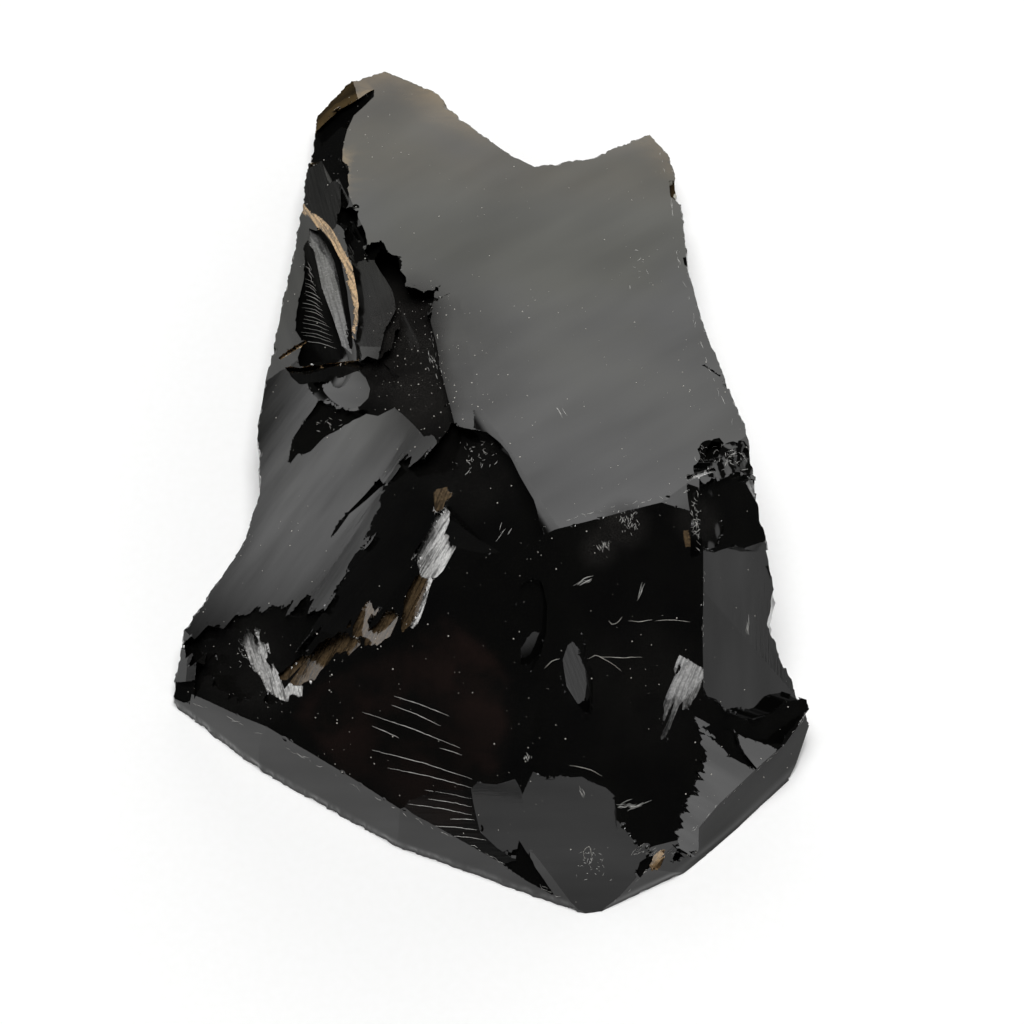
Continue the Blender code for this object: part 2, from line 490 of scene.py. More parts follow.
# Right side: the black top, the grey hollow and the black foot of the column, and its light corner.
facet("column_top", [(706, 484), (720, 481), (734, 474), (756, 480), (764, 505), (770, 548), (755, 552),
      (735, 546), (715, 552), (704, 546)], (82, 30), comb=(90, 8, 2.5), seed=76)
facet("column_face", [(703, 548), (716, 552), (735, 546), (755, 552), (784, 548), (790, 600), (784, 640),
      (812, 700), (795, 697), (783, 700), (772, 713), (746, 720), (728, 711), (716, 699), (703, 686)],
      RIGHT_CARD, comb=(90, 8, 1.0), seed=76, cover=4)
facet("column_left", [(703, 588), (735, 588), (775, 640), (800, 700), (783, 702), (771, 714), (746, 720),
      (728, 711), (716, 699), (709, 699), (703, 687)], (114, 8), comb=(90, 8, 0.8), seed=76,
      through=(710, 600, 0.05))
facet("column_mottle", [(700, 482), (714, 480), (722, 488), (718, 510), (722, 530), (716, 548),
      (704, 552), (700, 520)], (84, 27), comb=(90, 4, 3), fine=both(waves(32, 2.2, 0.12),
      streaks(90, 5, 0.02, 80)), seed=105)
facet("column_foot", [(703, 687), (709, 699), (718, 700), (726, 711), (746, 720), (771, 714), (783, 701),
      (796, 697), (814, 699), (806, 713), (790, 731), (781, 745), (765, 744), (746, 738), (735, 732),
      (739, 745), (750, 760), (757, 769), (744, 763), (728, 755), (716, 742), (709, 725)], (120, 22),
      comb=(60, 10, 1.5), seed=78)
facet("column_corner", [(736, 733), (748, 739), (765, 745), (783, 745), (770, 756), (757, 768),
      (747, 759)], SIDE_STRIP, comb=(0, 12, 0.4), seed=79)
# Its crushed white of 0.35 is partly a painted highlight that brightens the glint's streaks.
facet("glint_comb", [(676, 641), (703, 640), (703, 690), (697, 699), (690, 700), (684, 705), (678, 702),
      (670, 715), (663, 735), (661, 716), (668, 700), (675, 685), (681, 668), (681, 654)], (146, 15),
      comb=(112, 4, 7), fine=streaks(112, 4, 0.012, 73), seed=72, finish=(0.35, 0), cover=30)
facet("glint_fan", [(692, 724), (699, 712), (704, 711), (707, 726), (716, 743), (730, 757), (745, 765),
      (757, 769), (770, 785), (745, 815), (700, 850), (672, 860), (680, 830), (686, 812), (690, 797),
      (700, 778), (703, 764), (708, 750), (703, 738)], (147, 15), comb=(30, 2.6, 6),
      fine=streaks(30, 6, 0.012, 75), seed=74, cover=0)

# The crushed right corner: small uneven facets, one dark-rimmed flake, and a torn strip below.
facet("crushed_a", [(712, 448), (722, 443), (734, 444), (738, 452), (730, 462), (716, 466), (706, 470),
      (706, 460)], (30, 40), comb=(30, 4, 3), fine=both(waves(36, 2.1, 0.16), waves(76, 0.7, 0.03)),
      seed=41)
facet("crushed_b", [(734, 444), (745, 440), (752, 455), (760, 476), (745, 475), (735, 472), (728, 458)],
      (90, 18), comb=(70, 4, 3), fine=both(waves(37, 1.8, 0.15), waves(77, 0.7, 0.03)), seed=43)
facet("crushed_c", [(700, 462), (712, 462), (726, 458), (736, 472), (720, 479), (704, 479), (696, 472)],
      (55, 34), comb=(10, 4, 3), fine=both(waves(38, 1.9, 0.15), waves(78, 0.7, 0.03)), seed=45)
facet("crushed_rim", [(698, 449), (704, 440), (712, 436), (720, 437), (724, 443), (719, 455), (710, 464),
      (705, 473), (695, 474), (694, 466), (700, 460)], (120, 40), comb=(30, 5, 1.0), seed=48)
facet("crushed_flake", [(706, 449), (712, 442), (719, 443), (718, 451), (710, 459), (704, 463)], (12, 18),
      comb=(30, 5, 0.8), seed=50)
# A thin line of white crushed colour, painted as the highlight along a bright edge.
facet("painted_glint_line", [(686, 477), (700, 472), (714, 468), (716, 471), (700, 477), (688, 481)], None,
      comb=(160, 5, 0.8), seed=47, finish=WHITE_CRUSH_GLINT)
facet("corner_slip", [(688, 482), (698, 480), (700, 500), (702, 540), (698, 560), (690, 556), (692, 520)],
      (128, 30), comb=(90, 5, 3), fine=both(waves(39, 2.4, 0.16), streaks(90, 5, 0.03, 79)), seed=49)
facet("corner_brown_chip", [(683, 531), (689, 529), (691, 546), (685, 549)], None, comb=(90, 5, 1),
      seed=51, finish=DULL_TAN)
facet("column_bevel", [(744, 480), (750, 479), (758, 490), (764, 504), (768, 524), (764, 524), (759, 507),
      (752, 493)], (95, 5), comb=(70, 6, 0.8), seed=113, finish=(0.3, 0))

# The low walls right of the tip reach up to the foot of the column.
facet("wall_rise", [(640, 885), (655, 862), (672, 846), (680, 843), (700, 826), (720, 803), (736, 788),
      (757, 769), (771, 757), (771, 850), (700, 885)], (118, -2), comb=(135, 6, 0.8), fine=foot_bites,
      seed=106, through=(700, 826, 0.05))
facet("wall_rise_end", [(724, 799), (736, 788), (757, 769), (771, 757), (785, 745), (797, 728),
      (806, 713), (816, 700), (832, 700), (832, 790), (790, 845), (724, 870)], (114, -2),
      comb=(135, 6, 0.8), fine=foot_bites, seed=106, cover=10)

# Foot: two smooth lobes above the front tip, a black strip beside them.
facet("foot_top", [(430, 660), (650, 660), (690, 846), (660, 852), (640, 847), (624, 843), (618, 831),
      (616, 811), (613, 796), (605, 787), (593, 782), (582, 776), (570, 777), (552, 777), (534, 773),
      (518, 773), (513, 780), (497, 785), (484, 784), (474, 781), (450, 775)], (179, 27),
      comb=(90, 14, 1.2), seed=69, through=(552, 779, 0.1))
facet("foot_strip", [(400, 804), (440, 790), (471, 790), (475, 812), (480, 832), (497, 848), (512, 858),
      (524, 860), (530, 868), (540, 885), (552, 896), (574, 911), (556, 898), (534, 886), (518, 876),
      (498, 863), (478, 851), (440, 833)], (-160, 17), comb=(0, 20, 0.3), seed=67, cover=15)
facet("foot_left_lobe", [(474, 781), (484, 784), (497, 785), (515, 779), (522, 792), (524, 812),
      (527, 832), (530, 856), (509, 855), (494, 846), (484, 838), (477, 825), (471, 811), (469, 797)],
      (-168, 6), comb=(0, 14, 1.0), seed=68, bend=120)
facet("foot_right_lobe", [(518, 773), (534, 773), (552, 777), (570, 777), (582, 776), (593, 782),
      (605, 787), (613, 796), (616, 811), (618, 831), (624, 843), (637, 846), (654, 851), (645, 860),
      (636, 870), (634, 886), (620, 904), (600, 920), (574, 920), (556, 898), (547, 885), (540, 872),
      (530, 857), (522, 840), (517, 815), (515, 790)], (168, 8), comb=(0, 14, 1.0), seed=70,
      through=(577, 908, 0.05))
facet("foot_gap", [(519, 840), (527, 853), (536, 868), (545, 882), (554, 895), (541, 891), (522, 877),
      (503, 864), (516, 861)], (-160, 24), comb=(40, 8, 1.0), seed=71)

# Middle: leaf-shaped flake and the long shallow one beside it.
facet("leaf_rim", [(558, 645), (563, 635), (570, 631), (580, 630), (585, 640), (586, 655), (592, 672),
      (593, 688), (593, 710), (587, 722), (577, 708), (565, 692), (559, 672)], (120, 22),
      comb=(70, 14, 0.5), seed=65)
facet("leaf", [(563, 660), (567, 645), (577, 638), (580, 655), (587, 672), (590, 690), (590, 708),
      (586, 716), (577, 702), (567, 686)], (160, 12.5), comb=(70, 12, 0.8), seed=66)
facet("long_flake", [(517, 600), (522, 584), (532, 577), (542, 582), (547, 605), (546, 632), (541, 655),
      (531, 672), (521, 668), (516, 640)], (150, 38), comb=(80, 14, 0.5), seed=63, bend=60)
facet("long_flake_floor", [(520, 648), (528, 636), (540, 628), (543, 640), (538, 656), (528, 666),
      (521, 664)], (164, 15), comb=(60, 9, 1.0), seed=61, bend=60)

# Left side: the trough's dark right flank, its ragged lower end, the groove and the black wedge.
facet("trough_flank", [(445, 405), (452, 432), (440, 441), (421, 455), (400, 463), (386, 475), (379, 484),
      (377, 500), (373, 530), (365, 545), (352, 560), (342, 580), (330, 600), (318, 622), (300, 640),
      (340, 648), (385, 610), (425, 555), (448, 500), (458, 440)], (-54, 33), comb=(128, 5, 9), seed=77,
      cover=2)
facet("trough_end", [(182, 641), (200, 641), (212, 628), (224, 625), (241, 611), (257, 598), (254, 612),
      (268, 606), (282, 608), (300, 603), (318, 616), (312, 640), (280, 700), (230, 700), (200, 660),
      (192, 655)], (-98, 26), comb=(128, 5, 10), seed=80, cover=0)
facet("groove", [(380, 477), (384, 484), (367, 500), (350, 514), (337, 532), (330, 540), (328, 536),
      (338, 522), (350, 509), (364, 495)], (-54, 36), comb=(130, 8, 0.8), seed=82)
facet("wedge", [(319, 400), (336, 408), (350, 411), (366, 412), (353, 419), (343, 426), (336, 431),
      (325, 438), (310, 451), (299, 456), (290, 467), (288, 462), (283, 471), (284, 461), (290, 447),
      (297, 434), (307, 417)], (-62, 37), comb=(125, 6, 2), seed=62)
facet("left_corner_face", [(179, 639), (188, 648), (194, 656), (196, 668), (194, 681), (170, 683),
      (168, 660)], (-90.5, 6), comb=(0, 12, 0.3), seed=83, cover=70)
facet("left_corner_foot", [(170, 683), (194, 681), (192, 690), (190, 702), (180, 703), (168, 697)],
      (-100, 26), comb=(0, 12, 0.3), seed=85)
facet("left_corner_rag", [(196, 661), (204, 665), (215, 654), (217, 664), (217, 681), (212, 672),
      (205, 676), (199, 689), (194, 699), (195, 680)], (-70, 18), comb=(100, 6, 1.5), seed=87, cover=30)

# The horn: its crest is torn into stripes along the edge.
facet("horn_crown", [(300, 165), (306, 130), (318, 100), (345, 78), (385, 60), (402, 66), (398, 78),
      (372, 93), (350, 106), (335, 120), (325, 140), (318, 160)], (-30, 24), comb=(-38, 4, 9),
      fine=streaks(-38, 6, 0.04, 109), seed=109, cover=30)
facet("rim_notch", [(668, 180), (676, 176), (686, 184), (688, 200), (680, 204), (672, 198)], (118, 34),
      comb=(90, 5, 1.5), seed=110, bend=3)
facet("rim_crack", [(690, 360), (706, 365), (721, 375), (720, 377), (705, 367), (690, 361)], (110, 40),
      comb=(30, 5, 0.4), seed=111, cover=30)
facet("rim_nick", [(683, 258), (688, 257), (692, 263), (690, 268), (685, 265)], (110, 36),
      comb=(90, 4, 1.0), seed=112, cover=30)
facet("rim_nick_low", [(766, 566), (776, 562), (784, 570), (780, 580), (770, 577)], (110, 36),
      comb=(90, 4, 1.5), seed=114)

# The left edge of the upper face rolls over into a dark, dusty hollow.
facet("shoulder_edge", [(456, 426), (470, 429), (486, 432), (500, 444), (508, 453), (514, 464),
      (520, 476), (527, 488), (534, 500), (537, 512), (539, 522), (543, 534), (510, 560), (450, 520),
      (440, 450)], (-50, 34), comb=(60, 9, 1.0), seed=53)
rollover("shoulder_roll", [(458, 285), (482, 420)], 17.0, [(434, 300), (470, 284), (530, 320), (530, 400),
      (512, 474), (480, 441), (456, 427), (442, 440), (400, 430), (372, 418), (372, 385), (385, 330),
      (397, 308), (420, 323)])
rollover("shoulder_bevel", [(496, 430), (556, 524)], 5.0, [(474, 410), (506, 410), (575, 515), (548, 540),
      (539, 522), (534, 500), (520, 476), (508, 453), (486, 432), (474, 428)])
facet("dusty_hollow", [(397, 300), (418, 316), (430, 314), (434, 340), (440, 370), (448, 400), (456, 427),
      (442, 441), (418, 432), (392, 424), (370, 420), (368, 396), (368, 378), (378, 362), (390, 350),
      (398, 328)], (-27, 14), comb=(75, 4, 2.0), seed=57, cover=12)
facet("horn_side", [(303, 163), (327, 158), (333, 181), (342, 188), (342, 204), (338, 214), (338, 224),
      (332, 234), (318, 218), (300, 200)], (-42, 8), comb=(75, 7, 1.5), seed=59)

facet("slope_middle", [(346, 236), (351, 260), (366, 258), (380, 259), (389, 274), (393, 290), (397, 308),
      (398, 328), (390, 350), (378, 362), (362, 358), (357, 346), (359, 305), (353, 264)], (-43.5, 9),
      comb=(75, 6, 1.5), seed=52, cover=20)

# Jagged black band along the left edge of the upper face, from the horn down.
facet("horn_strip", [(306, 160), (311, 140), (321, 127), (339, 111), (361, 97), (389, 81), (395, 83),
      (372, 98), (353, 115), (346, 130), (342, 150), (345, 172), (332, 176), (322, 162)], (-30, 10),
      comb=(120, 9, 1.5), seed=58)
facet("jagged_band_top", [(336, 156), (352, 164), (350, 180), (348, 196), (345, 209), (358, 212),
      (355, 222), (358, 230), (352, 236), (344, 232), (338, 223), (338, 214), (342, 204), (342, 188),
      (338, 180), (330, 181), (325, 168), (324, 156)], (-27, 10), comb=(60, 5, 2.5), seed=60, cover=2)
facet("jagged_band_middle", [(343, 209), (358, 212), (355, 222), (353, 230), (362, 226), (366, 240),
      (364, 249), (376, 242), (385, 243), (388, 252), (400, 257), (403, 272), (398, 282), (385, 276),
      (378, 262), (366, 258), (358, 263), (351, 260), (349, 248), (345, 235), (348, 226), (338, 221)],
      (-27, 12), comb=(60, 5, 2.5), seed=46, cover=2)
facet("jagged_band_low", [(380, 248), (400, 257), (401, 270), (407, 277), (404, 288), (416, 287),
      (426, 291), (440, 286), (434, 298), (431, 312), (420, 323), (404, 317), (397, 308), (393, 290),
      (387, 278), (376, 262)], (-27, 14), comb=(60, 5, 2.5), seed=44, cover=2)

# The gouge: tan crushed rim, dark undercut, polished blade, ribbed bed, and the ledge below it.
facet("gouge_bed", [(306, 221), (310, 232), (312, 246), (316, 262), (322, 288), (333, 318), (341, 342),
      (344, 359), (318, 362), (300, 366), (298, 358), (304, 343), (296, 331), (296, 312), (300, 295),
      (304, 280), (305, 262), (304, 240)], (-58, 36), comb=(75, 9, 1.0), seed=97)
facet("gouge_undercut", [(305, 219), (311, 221), (320, 228), (331, 241), (341, 262), (347, 290),
      (351, 320), (353, 345), (351, 352), (345, 330), (342, 300), (337, 275), (333, 261), (326, 246),
      (317, 233), (309, 228)], (-30, 34), comb=(70, 9, 0.6), seed=99)
# The blade's crushed white of 0.14 is a painted highlight that brightens its polished face.
facet("gouge_blade", [(309, 228), (317, 231), (326, 244), (334, 261), (338, 278), (342, 301), (347, 326),
      (352, 352), (352, 360), (346, 361), (340, 341), (331, 313), (322, 286), (315, 262), (310, 246)],
      (2, 27), comb=(75, 12, 0.5), fine=streaks(76, 4, 0.01, 95), seed=98, finish=(0.14, 0))
facet("gouge_rim", [(301, 200), (311, 206), (320, 217), (332, 231), (345, 248), (353, 265), (358, 285),
      (360, 305), (359, 321), (354, 338), (352, 325), (353, 308), (350, 290), (346, 272), (340, 257),
      (329, 242), (319, 229), (311, 219), (304, 213)], None, comb=(60, 4, 2.0), seed=100, finish=TAN)
facet("ledge_under", [(286, 369), (300, 371), (330, 367), (358, 361), (367, 364), (362, 369), (345, 376),
      (325, 381), (299, 384), (291, 377)], (-50, 34), comb=(90, 8, 0.8), seed=96)
facet("ledge_lip", [(284, 365), (300, 368), (330, 363), (352, 358), (359, 360), (352, 362), (331, 367),
      (301, 372), (288, 371)], None, comb=(90, 8, 0.6), seed=94, finish=TAN)
facet("ledge_left", [(278, 358), (292, 348), (305, 340), (307, 343), (294, 351), (281, 360)], None,
      comb=(90, 8, 0.5), seed=93, finish=TAN)
facet("ledge_right", [(358, 361), (368, 356), (380, 359), (389, 367), (400, 377), (392, 381), (376, 386),
      (370, 380), (362, 370)], (-36, 36), comb=(30, 7, 1.5), seed=91)
facet("half_moon_ring", [(342, 377), (358, 368), (369, 370), (386, 374), (397, 388), (393, 408),
      (378, 416), (362, 413), (350, 413), (336, 410), (350, 404), (360, 396), (364, 384), (354, 376)],
      (-50, 34), comb=(0, 14, 0.8), seed=56, cover=30)
facet("half_moon", [(314, 384), (340, 380), (352, 373), (359, 371), (366, 379), (370, 389), (368, 398),
      (360, 406), (350, 409), (338, 406), (325, 396)], (-62, 13), comb=(0, 20, 0.4), seed=64, cover=12)

# The zigzag of crushed steps across the shoulder. Its white and tan are partly painted highlights where the
# steps glint.
facet("zigzag_cap", [(434, 492), (440, 488), (450, 490), (453, 494), (445, 505), (443, 512), (434, 510)],
      None, comb=(115, 5, 2.0), seed=84, finish=DULL_TAN)
facet("zigzag_top", [(434, 510), (450, 510), (446, 525), (446, 535), (451, 542), (454, 555), (448, 566),
      (438, 576), (430, 577), (418, 573), (415, 560), (418, 548), (425, 538), (431, 527)], None,
      comb=(120, 4, 4), fine=streaks(120, 4, 0.05, 84), seed=85, finish=WHITE_CRUSH_GLINT)
facet("zigzag_upper", [(415, 573), (430, 577), (427, 592), (424, 606), (420, 619), (411, 629), (402, 628),
      (398, 619), (404, 605), (408, 588)], None, comb=(115, 4, 4), seed=86, finish=DULL_TAN)
facet("zigzag_bright_edge", [(429, 578), (432, 580), (427, 600), (421, 618), (413, 630), (411, 628),
      (419, 612), (424, 596)], None, comb=(115, 4, 1.5), seed=42, finish=WHITE_CRUSH_GLINT)
facet("zigzag_middle", [(350, 626), (362, 611), (372, 604), (377, 608), (370, 620), (373, 630),
      (384, 616), (393, 611), (397, 620), (390, 636), (378, 647), (366, 644), (356, 637)], None,
      comb=(115, 4, 4), seed=88, finish=DULL_TAN)
facet("zigzag_lower", [(358, 641), (362, 654), (353, 660), (345, 652), (335, 655), (325, 665), (315, 678),
      (300, 687), (288, 682), (276, 674), (288, 667), (299, 659), (315, 649), (330, 637), (345, 631)],
      None, comb=(118, 4, 3), seed=90, finish=DULL_TAN)
facet("zigzag_foot", [(241, 641), (250, 632), (262, 624), (264, 630), (257, 640), (266, 644), (265, 660),
      (272, 670), (286, 679), (299, 686), (308, 682), (300, 696), (285, 701), (270, 693), (260, 682),
      (255, 668), (248, 661), (244, 650)], None, comb=(75, 4, 5), fine=streaks(60, 4, 0.05, 92), seed=92,
      finish=WHITE_CRUSH_GLINT)
facet("tan_chip", [(650, 864), (656, 855), (664, 848), (665, 856), (660, 868), (651, 871)], None,
      comb=(120, 5, 1.2), seed=101, finish=TAN)
facet("tan_chip_shadow", [(637, 872), (640, 862), (652, 856), (650, 868), (640, 877)], (-170, 30),
      comb=(120, 5, 1.2), seed=103)


# ---- Meshing: one vertex in each small box that the surface crosses, put on its ridge or corner ---
LOW = np.array([-43.0, -66.0, -1.0])
HIGH = np.array([43.0, 66.0, 39.5])
AROUND = {0: [(0, 0, 0), (0, -1, 0), (0, -1, -1), (0, 0, -1)],
          1: [(0, 0, 0), (0, 0, -1), (-1, 0, -1), (-1, 0, 0)],
          2: [(0, 0, 0), (-1, 0, 0), (-1, -1, 0), (0, -1, 0)]}


def contour(h, block=8):
    count = np.ceil((HIGH - LOW) / h / block).astype(int) * block + 1
    values = np.full(count, np.nan, dtype=np.float32)
    blocks = (count - 1) // block
    mids = np.stack(np.meshgrid(*[np.arange(n) for n in blocks], indexing="ij"), -1).reshape(-1, 3)
    rough, _ = solid(LOW + (mids + 0.5) * block * h, plain=True)
    wanted = np.zeros(count, dtype=bool)
    reach = block * h * 0.87
    for i, j, k in mids[(rough < reach + 0.5) & (rough > -reach - 5.5)] * block:
        wanted[i:i + block + 1, j:j + block + 1, k:k + block + 1] = True
    index = np.argwhere(wanted)
    for start in range(0, len(index), 400000):
        part = index[start:start + 400000]
        values[tuple(part.T)] = solid(LOW + part * h)[0]
    outside, known = values > 0, ~np.isnan(values)
    cells = np.array(values.shape) - 1

    quads, places, slopes = [], [], []
    for axis in range(3):
        a, b = [slice(None)] * 3, [slice(None)] * 3
        a[axis], b[axis] = slice(0, -1), slice(1, None)
        a, b = tuple(a), tuple(b)
        crossing = (outside[a] != outside[b]) & known[a] & known[b]
        at = np.argwhere(crossing)
        p = LOW + at * h
        step = np.zeros(3)
        step[axis] = h
        t0, t1 = np.zeros(len(p)), np.ones(len(p))
        f0, f1 = values[a][crossing].astype(float), values[b][crossing].astype(float)
        for _ in range(3):
            t = t0 + (t1 - t0) * np.clip(f0 / (f0 - f1), 0.02, 0.98)
            f, label = solid(p + t[:, None] * step)
            same = (f > 0) == (f0 > 0)
            t0, f0 = np.where(same, t, t0), np.where(same, f, f0)
            t1, f1 = np.where(same, t1, t), np.where(same, f1, f)
        place = p + t[:, None] * step
        round_edge = at[:, None, :] + np.array(AROUND[axis])
        flat = (round_edge[..., 0] * cells[1] + round_edge[..., 1]) * cells[2] + round_edge[..., 2]
        quads.append(np.where(outside[a][crossing][:, None], flat[:, ::-1], flat))
        places.append(place)
        slopes.append(normals(place, label))
    quads, place, slope = np.concatenate(quads), np.concatenate(places), np.concatenate(slopes)
    cell, inverse = np.unique(quads, return_inverse=True)
    inverse = inverse.reshape(quads.shape)
    owner = inverse.T.ravel()
    place, slope = np.tile(place, (4, 1)), np.tile(slope, (4, 1))
    corner = np.stack([cell // (cells[1] * cells[2]), cell // cells[2] % cells[1], cell % cells[2]], 1)
    middle = LOW + (corner + 0.5) * h
    rel = place - middle[owner]
    size = len(cell)
    number = np.bincount(owner, minlength=size)
    mean = np.stack([np.bincount(owner, rel[:, i], size) for i in range(3)], 1) / number[:, None]
    off = (slope * rel).sum(1)
    square = np.zeros((size, 3, 3))
    for i in range(3):
        for j in range(i, 3):
            square[:, i, j] = square[:, j, i] = np.bincount(owner, slope[:, i] * slope[:, j], size)
    right = np.stack([np.bincount(owner, slope[:, i] * off, size) for i in range(3)], 1)
    pull = 0.04                           # keeps a vertex on a flat face near the middle of its box
    square += np.eye(3) * pull
    spot = np.linalg.solve(square, (right + mean * pull)[..., None])[..., 0]
    wild = np.abs(spot).max(1) > 0.9 * h
    spot[wild] = mean[wild]
    return middle + spot, inverse


def ridge_chips(seed=7):
    """Random small flakes along the sharp ridges: more and larger where the edge is thin."""
    rng = np.random.default_rng(seed)
    verts, quads = contour(1.0)
    centre = verts[quads].mean(1)
    _, label = solid(centre)
    way = normals(centre, label)
    pairs = {}
    for quad, corners in enumerate(quads):
        for a, b in zip(corners, np.roll(corners, -1)):
            pairs.setdefault((min(a, b), max(a, b)), []).append(quad)
    centres, radii = [], []
    for (a, b), sides in pairs.items():
        if len(sides) != 2 or label[sides[0]] == label[sides[1]]:
            continue
        if label[sides[0]] >= 2 * len(BREAKS) or label[sides[1]] >= 2 * len(BREAKS):
            continue
        bend = way[sides[0]] @ way[sides[1]]
        if bend > 0.9:
            continue
        sharp = np.clip((0.9 - bend) / 1.2, 0, 1)
        spot = (verts[a] + verts[b]) / 2
        if spot[2] < 0.5 and rng.random() > 0.5:
            continue
        out = way[sides[0]] + way[sides[1]]
        out = out / max(np.linalg.norm(out), 1e-6)
        for _ in range(rng.poisson(0.2 + 0.7 * sharp)):
            radius = rng.uniform(0.35, 0.8) + rng.random() ** 4 * 1.2
            depth = rng.uniform(0.02, 0.11) * (0.6 + sharp)
            lean = out + rng.normal(size=3) * 0.2
            lean /= np.linalg.norm(lean)
            along = (verts[b] - verts[a]) * rng.uniform(-0.5, 0.5)
            centres.append(spot + along + lean * (radius - depth))
            radii.append(radius)
    return Chips(centres, radii)


# ---- From the worked-out shape to Blender meshes -------------------------------------------------
TRIANGLES = 192000
CLEAR = 0.01                              # gap left inside the CAD box, mm
SMOKE_DEPTH = 3.2                         # thickness at which the glass has lost most of its brown, mm
SMOKY = (33, 44)                          # the smoke fades in between these places along Y, mm
CROWN_SMOKE = 0.4                         # less of it on the crown of the horn
WALL_CRUSH_GLINT = 0.4                          # side walls of crushed breaks get less of the crushed colour and its painted highlight
UV_UNIT = 10                              # mm to one step of the grain's UV map
GRAIN = 0.3                               # mesh spacing before it is thinned
# Way of the fine grain on the large breaks, in degrees of the camera's frame, and how streaky it is.
GRAIN_WAY = {"trough": 127, "left_slope": 76, "upper": -28, "centre": 60, "front_left": 20,
             "right_hollow": 88, "horn_crown": -38}
PLAIN_STREAKY = 0.25                      # for every break that isn't named
STREAKY = {"trough": 0.55, "left_slope": 0.5, "gouge_blade": 0.4, "gouge_bed": 1.0, "glint_comb": 0.4,
           "glint_fan": 0.4, "horn_side": 1.0, "slope_middle": 1.0, "upper": 0.12}
# Breaks that show no smoke, however thin the glass is behind them.
OPAQUE = {"horn_side", "horn_strip", "left_slope", "slope_middle", "jagged_band_top", "jagged_band_middle",
          "jagged_band_low"}
# Patches of dust: column and row in the camera's frame, reach, and how thick it lies.
DUSTY = [((412, 322), 60, 0.85), ((406, 362), 70, 0.75), ((430, 396), 60, 0.6), ((476, 466), 70, 0.2),
         ((440, 368), 115, 0.4), ((625, 525), 32, 0.7), ((600, 548), 26, 0.5), ((245, 670), 70, 0.3),
         ((697, 520), 30, 0.4), ((640, 690), 90, 0.15)]
# Outline of the dim red-brown zone in the camera's frame.
MAHOGANY = [(300, 700), (316, 686), (350, 668), (395, 650), (425, 624), (442, 614), (467, 632), (495, 655),
            (510, 680), (510, 730), (505, 780), (480, 840), (440, 830), (340, 775), (296, 716)]


def as_mesh(name, verts, faces):
    mesh = bpy.data.meshes.new(name)
    mesh.vertices.add(len(verts))
    mesh.vertices.foreach_set("co", np.asarray(verts, dtype=np.float32).ravel())
    sides = faces.shape[1]
    mesh.loops.add(faces.size)
    mesh.loops.foreach_set("vertex_index", faces.astype(np.int32).ravel())
    mesh.polygons.add(len(faces))
    mesh.polygons.foreach_set("loop_start", np.arange(len(faces), dtype=np.int32) * sides)
    mesh.update(calc_edges=True)
    mesh.validate()
    return mesh


def thinned(mesh, target):
    obj = bpy.data.objects.new("thinning", mesh)
    bpy.context.scene.collection.objects.link(obj)
    thin = obj.modifiers.new("thin", "DECIMATE")
    thin.ratio = target / sum(len(p.vertices) - 2 for p in mesh.polygons)
    thin.use_collapse_triangulate = True
    result = bpy.data.meshes.new_from_object(obj.evaluated_get(bpy.context.evaluated_depsgraph_get()))
    bpy.data.objects.remove(obj, do_unlink=True)
    return result


def corner_array(mesh):
    verts = np.empty(len(mesh.vertices) * 3, dtype=np.float32)
    mesh.vertices.foreach_get("co", verts)
    loops = np.empty(len(mesh.loops), dtype=np.int32)
    mesh.loops.foreach_get("vertex_index", loops)
    return verts.reshape(-1, 3).astype(float) / MM, loops.reshape(-1, 3)


def depth_below(mesh, points, ways, reach=8.0):
    """How thick the glass is behind each point, straight in, in mm; only looked for near the rim."""
    tree = BVHTree.FromPolygons([v.co for v in mesh.vertices], [p.vertices for p in mesh.polygons])
    out = np.full(len(points), reach)
    near = inside(points[:, 0], points[:, 1], RIM) < reach
    for k in np.nonzero(near)[0]:
        n = Vector(ways[k])
        hit = tree.ray_cast(Vector(points[k] * MM) - n * 0.00002, -n, reach * MM)
        if hit[0] is not None:
            out[k] = hit[3] / MM
    return out


def paint(mesh, name, values):
    """Corner attribute of three channels."""
    layer = mesh.color_attributes.new(name, "FLOAT_COLOR", "CORNER")
    layer.data.foreach_set("color", np.column_stack([values, np.ones(len(values))]).ravel())


def one_piece(verts, quads):
    """The largest shell alone. The crumbs that ragged edges cut loose fall away."""
    shell = np.arange(len(verts))
    held = shell[quads]
    while (held != held[:, :1]).any():
        np.minimum.at(shell, held.ravel(), np.repeat(held.min(1), 4))
        shell = shell[shell]
        held = shell[quads]
    kept = held[:, 0] == np.bincount(held[:, 0]).argmax()
    used, quads = np.unique(quads[kept], return_inverse=True)
    return verts[used], quads.reshape(-1, 4)


